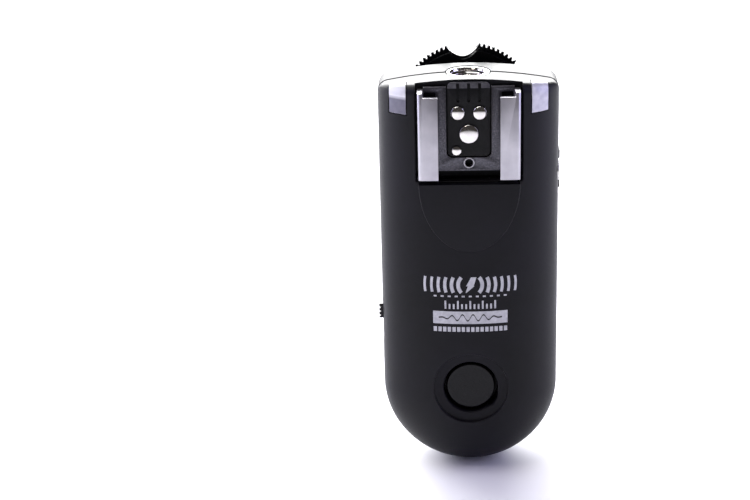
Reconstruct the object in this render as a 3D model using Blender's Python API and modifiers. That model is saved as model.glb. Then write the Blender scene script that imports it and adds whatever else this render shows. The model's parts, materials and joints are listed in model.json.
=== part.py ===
"""Wireless flash trigger: a hot-shoe radio unit with its own locking foot.

Body coordinates, used by every size below, are millimetres: x across, y back from the crown
of the front face, z up from the tip of the tail.  The hot shoe is on the front, the foot on
the back.  The world's origin is the middle of the foot plate's outer face.
"""
import math

import bmesh
import bpy
from mathutils import Vector

MM = 0.001
GAP = 0.3                    # clearance between touching pieces
TURN = 2.0 * math.pi

# Casing
BODY_LENGTH = 90.7
BODY_WIDTH = 39.0
WALL = 2.0
CROWN_POWER = 2.15           # superellipse power of the front's cross-section
CROWN_APEX = 0.06            # the shoe's tongue stands this far above the crown
END_ARCH_RADIUS = 92.0
END_CORNER_RADIUS = 2.6
END_EDGE_RADIUS = 2.0
BACK_EDGE_RADIUS = 5.0

# Hot shoe
SHOE_WIDTH = 19.2            # between the rails' walls: a standard foot is 18.6
SHOE_SHEET = 1.2
SHOE_SLOT = 2.3              # height under the lips: a standard foot is 2.0
SHOE_LIP_GAP = 13.1
SHOE_BASE_SHEET = 1.0
SHOE_END_GAP = 0.7           # from the recess's end to the closed end of the rails
SHOE_LIP_LENGTH = 17.9
SHOE_RAIL_LENGTH = 18.9
RECESS_LENGTH = 21.5         # from the middle of the end face
RECESS_SIDE_GAP = 0.5
POCKET_THINNER = 0.5         # the recess's floor is this much thinner than the wall
TONGUE_LENGTH = 15.5
CONTACT_BLOCK_WIDTH = 9.0
CONTACT_BLOCK_LENGTH = 16.5
CONTACT_DROP = 11.6          # main contact below the end face
SIDE_CONTACT = (2.35, 4.6)   # from the main contact, across and up
DOT_CONTACT = (-2.65, -3.6)
LOCK_HOLE_DROP = 5.7         # lock hole below the main contact
MAIN_CONTACT_RADIUS = 2.08
SIDE_CONTACT_RADIUS = 1.5
DOT_CONTACT_RADIUS = 0.98
CONTACT_PROUD = 0.35
RIVET_RADIUS = 0.7

# Light windows beside the shoe
WINDOW_FROM_RECESS = 3.7      # from the recess's side to the window's middle
WINDOW_WIDTH = 3.55
WINDOW_LENGTH = 7.0
WINDOW_END_DEPTH = 6.8       # how far back it runs down the end face
LAMP_RADIUS = 1.1
LAMP_INSET = 1.1              # in from the window's middle
LAMP_DROP = 12.7             # below the end face
LAMP_HEIGHT = 2.0

# Shutter button
BUTTON_RISE = 2.0            # above the middle of the round tail
BUTTON_RADIUS = 5.35
BUTTON_PLAY = 0.65           # between the cap and its well
BUTTON_FACE_WIDTH = 2.2      # flat ring faced off round the well
BUTTON_FACE_DEPTH = 1.35
BUTTON_TOP_DEPTH = 2.1
BUTTON_THICKNESS = 2.2
BUTTON_FLOOR_DEPTH = 5.7
BUTTON_FLOOR_SHEET = 1.3
BUTTON_WELL_WALL = 1.4
BUTTON_STEM_HOLE = 2.2
BUTTON_TRAVEL = 0.8
BUTTON_PAD_CRUSHED = 0.4     # pad left between the stem and the switch when pressed

# Slide switch, left side
SWITCH_RISE = 16.6           # above the middle of the round tail
SWITCH_KNOB_LENGTH = 3.4
SWITCH_KNOB_WIDTH = 2.6
SWITCH_TRAVEL = 5.0
SWITCH_PROUD = 0.8
SWITCH_BODY_THICKNESS = 1.8

# Remote jack, right side
JACK_DROP = 22.3             # below the end face
JACK_BORE = 1.3
JACK_RING_RADIUS = 2.3
JACK_BODY_LENGTH = 11.0
RIB_LENGTH = 2.3
RIB_SPACING = 6.4

# Sync socket in the end face
SOCKET_RADIUS = 4.58
SOCKET_PROUD = -0.15         # its rim lies just below the end face
SOCKET_WALL = 0.98
SOCKET_DEPTH = 6.0
SOCKET_TUBE_RADIUS = 1.3
SOCKET_TUBE_BORE = 0.5

# Boards
BOARD_BEHIND_POCKET = 2.5    # room for the rivets' ends and the parts on the board
BOARD_THICKNESS = 1.2
SEAM_BEHIND_BOARD = 2.0      # switch and jack stand on the board and reach out at the seam
BOARD_POST_GAP = 0.5         # between the board and the screw posts
BOARD_START = 10.0
BOARD_SHOULDER_DROP = 20.0   # below the end face
BOARD_TOP_DROP = 10.5
BOARD_EAR = 2.1              # board past the lamps' middles

# Batteries and their bay: two AAA cells side by side
CELL_RADIUS = 5.25
CELL_LENGTH = 44.5
CELL_PLAY = 0.5              # between the two cells
BAY_CORNER_GAP = 0.5         # from the tray's low corners to the round tail's wall
BAY_WALL = 1.0
BAY_SIDE_GAP = 0.75
BAY_FLOOR_SHEET = 0.7
BAY_BOARD_GAP = 0.4
SPRING_LENGTH = 1.7
CONTACT_SHEET = 0.5
DECK_DROP = 4.0              # from the flat back to the plane that the door lies on
DECK_SHEET = 1.4
DOOR_MARGIN = 1.4            # past the channel switch
DOOR_SHEET = 1.7
DOOR_PLAY = 0.4              # between the cells and the door

# Channel switch beside the bay
CHANNEL_SWITCH_SIZE = (6.2, 2.6, 3.8)
CHANNEL_SLIDER_PITCH = 1.27
CHANNEL_SLIDER_SIZE = 0.8
CHANNEL_TRAVEL = 1.4
CHANNEL_COUNT = 4

# Screws
SCREW_LOW_RISE = 1.0         # above the middle of the round tail
SCREW_HIGH_DROP = 3.1        # below the bay's end
SCREW_HEAD_RADIUS = 1.9
SCREW_SHANK_RADIUS = 0.8
SCREW_POST_RADIUS = 2.3

# Foot
FOOT_END_DROP = 13.0         # foot's middle below the end face
FOOT_WIDTH = 18.6
FOOT_LENGTH = 18.6
FOOT_SHEET = 2.0
FOOT_DROP = 11.0             # from the casing's flat back to the foot plate's outer face
FOOT_INSERT = (9.2, 15.4)
STEM_RADIUS = 6.0
BOSS_RADIUS = 8.5
BOSS_HEIGHT = 1.0
WHEEL_RADIUS = 16.0
WHEEL_HEIGHT = 3.0
WHEEL_LOBES = 6
WHEEL_TEETH = 9
WHEEL_TOOTH_PITCH = math.radians(4.05)
WHEEL_TOOTH_DEPTH = 0.6
WHEEL_SCALLOP_DEPTH = 3.0
WHEEL_START_ANGLE = math.radians(3.6)
WASHER_SHEET = 1.0
WASHER_RADIUS = 8.8
WHEEL_TRAVEL = 3.0
LOCK_PIN_RADIUS = 0.75
LOCK_PIN_PROUD = 1.6         # stands out this far when locked
FOOT_PIN_RADIUS = 0.9
FOOT_PIN_PROUD = 0.7
FOOT_PIN_LENGTH = 5.2

# Derived sizes
HALF_WIDTH = BODY_WIDTH / 2.0
SHOE_FLOOR = SHOE_SHEET + SHOE_SLOT
RECESS_FLOOR = SHOE_FLOOR + SHOE_BASE_SHEET + GAP
POCKET_SHEET = WALL - POCKET_THINNER
POCKET_FLOOR = RECESS_FLOOR + POCKET_SHEET
BOARD_FRONT = POCKET_FLOOR + BOARD_BEHIND_POCKET
BOARD_BACK = BOARD_FRONT + BOARD_THICKNESS
SEAM_DEPTH = BOARD_BACK + SEAM_BEHIND_BOARD
BAY_FLOOR_DEPTH = BOARD_BACK + BAY_BOARD_GAP + BAY_FLOOR_SHEET
CELL_SPACING = 2.0 * CELL_RADIUS + CELL_PLAY
CELL_DEPTH = BAY_FLOOR_DEPTH + GAP + CELL_RADIUS
BODY_BACK = CELL_DEPTH + CELL_RADIUS + DOOR_PLAY + DOOR_SHEET
DECK_DEPTH = BODY_BACK - DECK_DROP
FOOT_FACE = BODY_BACK + FOOT_DROP
FOOT_Z = BODY_LENGTH - FOOT_END_DROP
RECESS_START = BODY_LENGTH - RECESS_LENGTH
SHOE_START = RECESS_START + SHOE_END_GAP
RECESS_HALF = SHOE_WIDTH / 2.0 + SHOE_SHEET + RECESS_SIDE_GAP
CONTACT_BLOCK_START = BODY_LENGTH - CONTACT_BLOCK_LENGTH
CONTACT_HEIGHT = BODY_LENGTH - CONTACT_DROP
WINDOW_CENTRE = RECESS_HALF + WINDOW_FROM_RECESS
WINDOW_START = BODY_LENGTH - WINDOW_LENGTH
LAMP_PLACE = (WINDOW_CENTRE - LAMP_INSET, BODY_LENGTH - LAMP_DROP)
BUTTON_HEIGHT = HALF_WIDTH + BUTTON_RISE
BUTTON_WELL_RADIUS = BUTTON_RADIUS + BUTTON_PLAY
BUTTON_FACE_RADIUS = BUTTON_WELL_RADIUS + BUTTON_FACE_WIDTH
SWITCH_HEIGHT = HALF_WIDTH + SWITCH_RISE
JACK_HEIGHT = BODY_LENGTH - JACK_DROP
SOCKET_BORE = SOCKET_RADIUS - SOCKET_WALL
BOARD_SHOULDER = BODY_LENGTH - BOARD_SHOULDER_DROP
BOARD_TOP = BODY_LENGTH - BOARD_TOP_DROP
BAY_LENGTH = CELL_LENGTH + SPRING_LENGTH + CONTACT_SHEET + 3.0 * GAP
BAY_HALF = CELL_SPACING / 2.0 + CELL_RADIUS + BAY_SIDE_GAP
BAY_OUTSIDE = BAY_HALF + BAY_WALL
TAIL_ROOM = HALF_WIDTH - WALL - BAY_CORNER_GAP
BAY_START = HALF_WIDTH + BAY_WALL - math.sqrt(TAIL_ROOM ** 2 - BAY_OUTSIDE ** 2)
BAY_END = BAY_START + BAY_LENGTH
SWITCH_BODY_OUTSIDE = BAY_OUTSIDE + GAP + SWITCH_BODY_THICKNESS
DOOR_TOP = BAY_END + BAY_WALL + CHANNEL_SWITCH_SIZE[2] + DOOR_MARGIN
DOOR_GAP_TOP = DOOR_TOP + GAP
SCREW_ACROSS = BAY_OUTSIDE + SCREW_POST_RADIUS + GAP
BOARD_HALF_WIDTH = SCREW_ACROSS - SCREW_POST_RADIUS - BOARD_POST_GAP
SCREW_HEIGHTS = (HALF_WIDTH + SCREW_LOW_RISE, BAY_END - SCREW_HIGH_DROP)
FOOT_INNER = FOOT_FACE - FOOT_SHEET
WHEEL_FRONT = BODY_BACK + BOSS_HEIGHT + GAP
WHEEL_BACK = WHEEL_FRONT + WHEEL_HEIGHT
LOCK_Z = FOOT_Z - LOCK_HOLE_DROP
FAR = 200.0                  # reaches past the whole object, for cutters

PARTS = "wireless_flash_trigger"
CUTTERS = "cutters"


def world(x, y, z):
    """A point in body coordinates as a world position in metres."""
    return Vector((x * MM, (y - FOOT_FACE) * MM, (z - FOOT_Z) * MM))


def clear_scene():
    for item in list(bpy.data.objects):
        bpy.data.objects.remove(item, do_unlink=True)
    for name in (PARTS, CUTTERS):
        group = bpy.data.collections.new(name)
        bpy.context.scene.collection.children.link(group)


def material(name, color, roughness, metallic=0.0):
    """Principled material; the colour is linear red, green, blue."""
    made = bpy.data.materials.new(name)
    made.use_nodes = True
    shader = made.node_tree.nodes["Principled BSDF"]
    shader.inputs["Base Color"].default_value = (*color, 1.0)
    shader.inputs["Roughness"].default_value = roughness
    shader.inputs["Metallic"].default_value = metallic
    return made


def new_object(name, mesh, surface, place):
    """Puts a mesh in the parts, or in the cutters when it has no surface."""
    item = bpy.data.objects.new(name, mesh)
    item.location = place
    if surface is None:
        bpy.data.collections[CUTTERS].objects.link(item)
        item.hide_render = True
        item.display_type = "WIRE"
    else:
        bpy.data.collections[PARTS].objects.link(item)
        mesh.materials.append(surface)
    return item


def mesh_from(bm, name):
    mesh = bpy.data.meshes.new(name)
    bm.to_mesh(mesh)
    bm.free()
    return mesh


def boolean(item, other, operation):
    change = item.modifiers.new(other.name, "BOOLEAN")
    change.operation = operation
    change.solver = "EXACT"
    change.object = other
    return item


def cut(item, *others):
    for other in others:
        boolean(item, other, "DIFFERENCE")
    return item


def join(item, *others):
    for other in others:
        boolean(item, other, "UNION")
    return item


def block(name, low, high, surface=None):
    """Box between two corners in body coordinates, with its origin in its middle."""
    bm = bmesh.new()
    bmesh.ops.create_cube(bm, size=1.0)
    size = [(b - a) * MM for a, b in zip(low, high)]
    bmesh.ops.scale(bm, vec=size, verts=bm.verts)
    middle = [(a + b) / 2.0 for a, b in zip(low, high)]
    return new_object(name, mesh_from(bm, name), surface, world(*middle))


AXIS_ROTATION = {
    "+Z": (0.0, 0.0, 0.0),
    "+Y": (-TURN / 4.0, 0.0, 0.0),
    "+X": (0.0, TURN / 4.0, 0.0),
}


def turned(name, profile, start, axis, surface=None, steps=24):
    """Solid turned about an axis through start; the profile is (radius, height along axis).

    The profile runs down its outer side from the far end to the near end.  One that begins
    off the axis is a closed loop, which makes a ring or a tube.
    """
    mesh = bpy.data.meshes.new(name)
    points = [(radius * MM, 0.0, height * MM) for radius, height in profile]
    edges = [(i, i + 1) for i in range(len(points) - 1)]
    if profile[0][0] > 0.0:
        edges.append((len(points) - 1, 0))
    mesh.from_pydata(points, edges, [])
    item = new_object(name, mesh, surface, world(*start))
    item.rotation_euler = AXIS_ROTATION[axis]
    screw = item.modifiers.new("turned", "SCREW")
    screw.axis = "Z"
    screw.angle = TURN
    screw.steps = steps
    screw.render_steps = steps
    screw.use_merge_vertices = True
    screw.merge_threshold = 0.00001
    screw.use_smooth_shade = True
    return item


def rod(name, radius, start, length, axis, surface=None, steps=24):
    """Plain cylinder from start along an axis, each end one flat face."""
    bm = bmesh.new()
    bmesh.ops.create_cone(bm, cap_ends=True, segments=steps, radius1=radius * MM, radius2=radius * MM,
                          depth=length * MM)
    bmesh.ops.translate(bm, vec=(0.0, 0.0, length * MM / 2.0), verts=bm.verts)
    item = new_object(name, mesh_from(bm, name), surface, world(*start))
    item.rotation_euler = AXIS_ROTATION[axis]
    return item


def tube(name, outer, inner, start, length, axis, surface=None, steps=24):
    """Plain ring or sleeve from start along an axis."""
    return turned(name, [(outer, length), (outer, 0.0), (inner, 0.0), (inner, length)],
                  start, axis, surface, steps)


def curve_to_mesh(curve_item, surface):
    """Turns a curve object into a closed mesh object of the same name and place."""
    name = curve_item.name
    bpy.context.view_layer.update()
    evaluated = curve_item.evaluated_get(bpy.context.evaluated_depsgraph_get())
    mesh = bpy.data.meshes.new_from_object(evaluated)
    place = curve_item.matrix_world.copy()
    bpy.data.objects.remove(curve_item, do_unlink=True)
    bm = bmesh.new()
    bm.from_mesh(mesh)
    bmesh.ops.remove_doubles(bm, verts=bm.verts, dist=0.000001)
    bmesh.ops.recalc_face_normals(bm, faces=bm.faces)
    bm.to_mesh(mesh)
    bm.free()
    mesh.name = name
    item = new_object(name, mesh, surface, (0.0, 0.0, 0.0))
    item.matrix_world = place
    return item


def flat_curve(name, outlines, thickness, place, rotation):
    """Filled 2D curve of closed outlines, extruded about its own plane."""
    curve = bpy.data.curves.new(name, "CURVE")
    curve.dimensions = "2D"
    curve.fill_mode = "BOTH"
    curve.extrude = thickness * MM / 2.0
    for outline in outlines:
        spline = curve.splines.new("POLY")
        spline.points.add(len(outline) - 1)
        for point, (u, v) in zip(spline.points, outline):
            point.co = (u * MM, v * MM, 0.0, 1.0)
        spline.use_cyclic_u = True
    item = bpy.data.objects.new(name, curve)
    item.location = place
    item.rotation_euler = rotation
    bpy.context.scene.collection.objects.link(item)
    return item


def front_plate(name, outlines, y_low, y_high, centre, surface=None):
    """Plate whose outlines are (x, z) about centre, between two depths."""
    place = world(centre[0], (y_low + y_high) / 2.0, centre[1])
    item = flat_curve(name, outlines, y_high - y_low, place, (TURN / 4.0, 0.0, 0.0))
    return curve_to_mesh(item, surface)


def long_bar(name, outline, z_low, z_high, surface=None):
    """Bar along z whose outline is (x, y) in body coordinates."""
    place = world(0.0, 0.0, (z_low + z_high) / 2.0)
    item = flat_curve(name, [outline], z_high - z_low, place, (0.0, 0.0, 0.0))
    return curve_to_mesh(item, surface)


def arc(centre, radius, start, end, count):
    """Points on a circle from one angle to another, both ends included."""
    return [(centre[0] + radius * math.cos(start + (end - start) * i / count),
             centre[1] + radius * math.sin(start + (end - start) * i / count))
            for i in range(count + 1)]


def rounded_rectangle(width, height, radius, count=3):
    """Rectangle about the origin with four round corners."""
    across, up = width / 2.0 - radius, height / 2.0 - radius
    points = []
    for quarter, (x, z) in enumerate([(across, up), (-across, up), (-across, -up), (across, -up)]):
        start = quarter * TURN / 4.0
        points += arc((x, z), radius, start, start + TURN / 4.0, count)
    return points


def wire(name, points, radius, surface):
    """Round wire along points given in body coordinates."""
    curve = bpy.data.curves.new(name, "CURVE")
    curve.dimensions = "3D"
    curve.bevel_depth = radius * MM
    curve.bevel_resolution = 2
    curve.use_fill_caps = True
    spline = curve.splines.new("POLY")
    spline.points.add(len(points) - 1)
    origin = world(*points[0])
    for point, place in zip(spline.points, points):
        point.co = (*(world(*place) - origin), 1.0)
    item = bpy.data.objects.new(name, curve)
    item.location = origin
    bpy.context.scene.collection.objects.link(item)
    return curve_to_mesh(item, surface)


# ---------------------------------------------------------------- casing form

def end_height(x, inset=0.0):
    """Height of the arched end face over a place across."""
    return BODY_LENGTH - inset - x * x / (2.0 * END_ARCH_RADIUS)


def crown_depth(distance, half_width, depth):
    """Depth of the crowned front at a distance in from the casing's edge."""
    share = 1.0 - min(max(distance / half_width, 0.0), 1.0)
    rise = max(1.0 - share ** CROWN_POWER, 0.0) ** (1.0 / CROWN_POWER)
    return depth * (1.0 - rise)


def edge_drop(inset, radius):
    """Extra depth of the rounded edge between the front and the end face."""
    reach = max(radius - inset, 0.0)
    return radius - math.sqrt(radius * radius - reach * reach)


def casing_ring(half_width, end_inset, corner):
    """One outline of the casing: (x, z, weight), anticlockwise from the tail's right side.

    The weight is 1 on the end face, 0 on the sides and tail, and rises through the corners.
    """
    corner = min(corner, half_width * 0.9)
    corner_x = half_width - corner
    turn_x = corner_x
    for _ in range(4):
        lean = math.atan(turn_x / END_ARCH_RADIUS)
        turn_x = corner_x + corner * math.sin(lean)
    last = TURN / 4.0 - lean
    corner_z = end_height(turn_x, end_inset) - corner * math.sin(last)
    right = [(half_width, HALF_WIDTH + (corner_z - HALF_WIDTH) * i / 5.0, 0.0) for i in range(5)]
    for i in range(5):
        angle = last * i / 4.0
        right.append((corner_x + corner * math.cos(angle), corner_z + corner * math.sin(angle),
                      math.sin(angle) ** 2))
    top = []
    for i in range(1, 8):
        x = turn_x * (1.0 - i / 4.0)
        top.append((x, end_height(x, end_inset), 1.0))
    left = [(-x, z, w) for x, z, w in reversed(right)]
    tail = [(x, z, 0.0) for x, z in
            arc((0.0, HALF_WIDTH), half_width, TURN / 2.0, TURN, 24)[1:-1]]
    return right + top + left + tail


def casing_form(name, inset=0.0, rings=8):
    """Closed solid of the casing's outside, or of its hollow when inset by the wall."""
    half = HALF_WIDTH - inset
    apex = CROWN_APEX + inset
    back = BODY_BACK - inset
    corner = max(END_CORNER_RADIUS - inset, 0.8)
    end_edge = max(END_EDGE_RADIUS - inset, 0.5)
    back_edge = max(BACK_EDGE_RADIUS - inset, 1.0)
    layers = []
    for k in range(rings, -1, -1):
        angle = TURN / 4.0 * k / rings
        step = half * (1.0 - math.cos(angle) ** (2.0 / CROWN_POWER))
        ring = []
        for x, z, weight in casing_ring(half - step, inset + step, corner):
            side = half - (abs(x) if z > HALF_WIDTH else math.hypot(x, z - HALF_WIDTH))
            depth = apex + crown_depth(side, half, SEAM_DEPTH - apex)
            depth += edge_drop(step, end_edge) * weight
            ring.append((x, min(depth, SEAM_DEPTH), z))
        layers.append(ring)
    outline = casing_ring(half, inset, corner)
    layers.append([(x, SEAM_DEPTH, z) for x, z, _ in outline])
    for i in range(5):
        angle = TURN / 4.0 * i / 4.0
        step = back_edge * (1.0 - math.cos(angle))
        y = back - back_edge + back_edge * math.sin(angle)
        layers.append([(x, y, z) for x, z, _ in casing_ring(half - step, inset + step, corner)])
    bm = bmesh.new()
    made = [[bm.verts.new(world(*point)) for point in layer] for layer in layers]
    for upper, lower in zip(made, made[1:]):
        for i in range(len(upper)):
            j = (i + 1) % len(upper)
            bm.faces.new((upper[i], upper[j], lower[j], lower[i]))
    bm.faces.new(made[-1])
    bmesh.ops.remove_doubles(bm, verts=bm.verts, dist=0.000002)
    bmesh.ops.dissolve_degenerate(bm, edges=bm.edges, dist=0.000001)
    bmesh.ops.triangulate(bm, faces=bm.faces)
    bmesh.ops.recalc_face_normals(bm, faces=bm.faces)
    return new_object(name, mesh_from(bm, name), None, (0.0, 0.0, 0.0))


def as_part(form, name, surface):
    """Copies a form's mesh into a new part."""
    return new_object(name, form.data.copy(), surface, form.location.copy())


# ---------------------------------------------------------------- shells

def side_cutters():
    """Holes that run through both shells: switch window, jack, socket."""
    knob_half = SWITCH_KNOB_WIDTH / 2.0 + GAP
    low = SWITCH_HEIGHT - SWITCH_TRAVEL - SWITCH_KNOB_LENGTH / 2.0 - 0.4
    high = SWITCH_HEIGHT + SWITCH_KNOB_LENGTH / 2.0 + 0.4
    switch = block("switch_window", (-HALF_WIDTH - 5.0, SEAM_DEPTH - knob_half, low),
                   (-HALF_WIDTH + 5.0, SEAM_DEPTH + knob_half, high))
    jack = rod("jack_hole", JACK_RING_RADIUS + GAP, (HALF_WIDTH - 5.0, SEAM_DEPTH, JACK_HEIGHT),
               10.0, "+X")
    socket = rod("socket_hole", SOCKET_RADIUS + GAP, (0.0, SEAM_DEPTH, BODY_LENGTH - WALL - 6.0),
                 16.0, "+Z")
    return switch, jack, socket


def screw_places():
    return [(side * SCREW_ACROSS, height) for height in SCREW_HEIGHTS for side in (-1.0, 1.0)]


def shoe_contact_places():
    """Name, place across, height, radius of each contact in the shoe."""
    across, up = SIDE_CONTACT
    dot_across, dot_up = DOT_CONTACT
    return [
        ("main", 0.0, CONTACT_HEIGHT, MAIN_CONTACT_RADIUS),
        ("left", -across, CONTACT_HEIGHT + up, SIDE_CONTACT_RADIUS),
        ("right", across, CONTACT_HEIGHT + up, SIDE_CONTACT_RADIUS),
        ("dot", dot_across, CONTACT_HEIGHT + dot_up, DOT_CONTACT_RADIUS),
    ]


def window_cutter(name, side, play):
    """Prism that wraps a light window over the front edge of the end face."""
    half = WINDOW_WIDTH / 2.0 + play
    centre = side * WINDOW_CENTRE
    return block(name, (centre - half, -5.0, WINDOW_START - play),
                 (centre + half, WINDOW_END_DEPTH + play, BODY_LENGTH + 5.0))


def tongue():
    """Flat half-elliptic land that runs down from the shoe."""
    half = RECESS_HALF - RECESS_SIDE_GAP
    points = [(half * math.cos(a), TONGUE_LENGTH * math.sin(a))
              for a in (TURN / 2.0 + TURN / 2.0 * i / 20.0 for i in range(21))]
    points += [(half, 1.0), (-half, 1.0)]
    return front_plate("tongue_form", [points], 0.0, WALL - 0.05, (0.0, RECESS_START))


def button_room():
    """One stepped cutter: the faced-off ring, the well below it and the stem's hole in its floor."""
    ahead = 6.0
    face, floor = ahead + BUTTON_FACE_DEPTH, ahead + BUTTON_FLOOR_DEPTH
    through = floor + WALL
    profile = [(0.0, through), (BUTTON_STEM_HOLE, through), (BUTTON_STEM_HOLE, floor),
               (BUTTON_WELL_RADIUS, floor), (BUTTON_WELL_RADIUS, face), (BUTTON_FACE_RADIUS, face),
               (BUTTON_FACE_RADIUS, 0.0), (0.0, 0.0)]
    return turned("button_room", profile, (0.0, -ahead, BUTTON_HEIGHT), "+Y", steps=36)


def build_front_shell(surface, outer, hollow, holes):
    shell = as_part(outer, "front_shell", surface)
    back_half = block("behind_seam", (-FAR, SEAM_DEPTH - GAP / 2.0, -FAR), (FAR, FAR, FAR))
    cut(shell, back_half, hollow)
    pocket_half = RECESS_HALF + 1.3
    pocket = block("shoe_pocket", (-pocket_half, 3.2, RECESS_START - POCKET_SHEET),
                   (pocket_half, POCKET_FLOOR, end_height(pocket_half) - 0.4))
    well_start = BUTTON_FACE_DEPTH + 0.2
    well = rod("well_boss", BUTTON_WELL_RADIUS + BUTTON_WELL_WALL, (0.0, well_start, BUTTON_HEIGHT),
               BUTTON_FLOOR_DEPTH + BUTTON_FLOOR_SHEET - well_start, "+Y")
    join(shell, pocket, tongue(), well)
    for index, (x, z) in enumerate(screw_places()):
        post = rod(f"front_post_{index}", SCREW_POST_RADIUS, (x, 7.2, z),
                   SEAM_DEPTH - GAP / 2.0 - 7.2, "+Y", steps=16)
        bore = rod(f"front_bore_{index}", SCREW_SHANK_RADIUS + GAP, (x, 7.8, z), 10.0, "+Y", steps=12)
        join(shell, post)
        cut(shell, bore)
    recess = block("shoe_recess", (-RECESS_HALF, -6.0, RECESS_START),
                   (RECESS_HALF, RECESS_FLOOR, BODY_LENGTH + 5.0))
    cut(shell, recess, button_room())
    cut(shell, window_cutter("window_hole_left", -1.0, GAP), window_cutter("window_hole_right", 1.0, GAP))
    for name, x, z, _ in shoe_contact_places():
        cut(shell, rod(f"rivet_hole_{name}", RIVET_RADIUS + GAP, (x, 0.0, z), 10.0, "+Y", steps=12))
    return cut(shell, *holes)


def build_back_shell(surface, outer, hollow, holes):
    shell = as_part(outer, "back_shell", surface)
    front_half = block("ahead_of_seam", (-FAR, -FAR, -FAR), (FAR, SEAM_DEPTH + GAP / 2.0, FAR))
    room = as_part(hollow, "back_hollow", None)
    cut(room, block("deck_solid", (-FAR, DECK_DEPTH - DECK_SHEET, -FAR), (FAR, FAR, DOOR_GAP_TOP + WALL)))
    door_room = block("door_room", (-FAR, DECK_DEPTH, -FAR), (FAR, FAR, DOOR_GAP_TOP))
    cut(shell, front_half, room, door_room)
    tray = block("bay_tray", (-BAY_OUTSIDE, BAY_FLOOR_DEPTH - BAY_FLOOR_SHEET, BAY_START - BAY_WALL),
                 (BAY_OUTSIDE, DECK_DEPTH - 0.4, BAY_END + BAY_WALL))
    bay = block("bay_room", (-BAY_HALF, BAY_FLOOR_DEPTH, BAY_START), (BAY_HALF, FAR, BAY_END))
    boss = rod("foot_boss", BOSS_RADIUS, (0.0, BODY_BACK - 1.0, FOOT_Z), 1.0 + BOSS_HEIGHT, "+Y")
    join(shell, tray, boss)
    for index, (x, z) in enumerate(screw_places()):
        start = SEAM_DEPTH + GAP / 2.0
        post = rod(f"back_post_{index}", SCREW_POST_RADIUS, (x, start, z), DECK_DEPTH - 0.4 - start,
                   "+Y", steps=16)
        join(shell, post)
        cut(shell, rod(f"back_bore_{index}", SCREW_SHANK_RADIUS + GAP, (x, 5.0, z), 30.0, "+Y", steps=12))
        cut(shell, rod(f"head_seat_{index}", SCREW_HEAD_RADIUS + GAP, (x, DECK_DEPTH - 1.8, z), 6.0, "+Y",
                       steps=16))
    width, _, height = CHANNEL_SWITCH_SIZE
    channel = block("channel_window", (-width / 2.0 - GAP, DECK_DEPTH - 4.0, BAY_END + BAY_WALL + GAP),
                    (width / 2.0 + GAP, DECK_DEPTH + 4.0, BAY_END + BAY_WALL + 3.0 * GAP + height))
    spigot = rod("spigot_hole", STEM_RADIUS / 2.0 + GAP, (0.0, 15.0, FOOT_Z), 20.0, "+Y")
    cut(shell, bay, channel, spigot)
    for sign in (-1.0, 1.0):
        middle = JACK_HEIGHT + sign * RIB_SPACING / 2.0
        rib = block(f"rib_form_{sign:+.0f}", (HALF_WIDTH - 1.2, SEAM_DEPTH + 0.6, middle - RIB_LENGTH / 2.0),
                    (HALF_WIDTH + 0.35, SEAM_DEPTH + 4.0, middle + RIB_LENGTH / 2.0))
        join(shell, rib)
    return cut(shell, *holes)


def build_battery_door(surface, outer):
    """Skin of the lower back, with the rounded rim, that slides off over the tail."""
    door = as_part(outer, "battery_door", surface)
    room = block("door_hollow", (-FAR, -FAR, -FAR), (FAR, DECK_DEPTH + GAP, FAR))
    top = block("above_door", (-FAR, -FAR, DOOR_TOP), (FAR, FAR, FAR))
    inside = casing_form("door_inside", DOOR_SHEET, 4)
    under = as_part(inside, "door_inside_low", None)
    bpy.data.objects.remove(inside, do_unlink=True)
    cut(door, room, top, under)
    for index in range(5):
        height = DOOR_TOP - 18.8 + 2.2 * index
        cut(door, block(f"grip_groove_{index}", (-6.0, BODY_BACK - 0.35, height),
                        (6.0, BODY_BACK + 3.0, height + 1.0)))
    return door


# ---------------------------------------------------------------- hot shoe

def build_shoe_plate(surface):
    """Stamped rail plate: base, two walls and two inward lips."""
    inner, outer = SHOE_WIDTH / 2.0, SHOE_WIDTH / 2.0 + SHOE_SHEET
    lip = SHOE_LIP_GAP / 2.0
    back = SHOE_FLOOR + SHOE_BASE_SHEET
    right = [(outer - 0.5, 0.0), (lip, 0.0), (lip, SHOE_SHEET), (inner, SHOE_SHEET), (inner, SHOE_FLOOR)]
    half = [(outer, back), (outer, 0.5)] + right
    outline = half + [(-x, y) for x, y in reversed(half)]
    plate = long_bar("shoe_plate", outline, SHOE_START, SHOE_START + SHOE_RAIL_LENGTH + 0.5, surface)
    lip_end = SHOE_START + SHOE_LIP_LENGTH
    rail_end = SHOE_START + SHOE_RAIL_LENGTH
    above_lips = block("above_lips", (-inner - 0.2, -2.0, lip_end), (inner + 0.2, SHOE_FLOOR - 0.8, FAR))
    above_left = block("above_left_wall", (-FAR, -2.0, rail_end), (-inner - 0.0001, 8.0, FAR))
    above_right = block("above_right_wall", (inner + 0.0001, -2.0, rail_end), (FAR, 8.0, FAR))
    foot_of_base = block("below_base", (-inner + 0.3, SHOE_SHEET + 0.4, -FAR),
                         (inner - 0.3, 8.0, SHOE_START + 1.1))
    cut(plate, above_lips, above_left, above_right, foot_of_base)
    half_block = CONTACT_BLOCK_WIDTH / 2.0 + GAP
    start = CONTACT_BLOCK_START - GAP
    cut(plate, block("block_room", (-half_block, 2.0, start), (half_block, 8.0, FAR)))
    return cut(plate, rod("lock_hole", 0.85, (0.0, 2.0, CONTACT_HEIGHT - LOCK_HOLE_DROP - 0.6), 5.0, "+Y",
                          steps=16))


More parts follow.
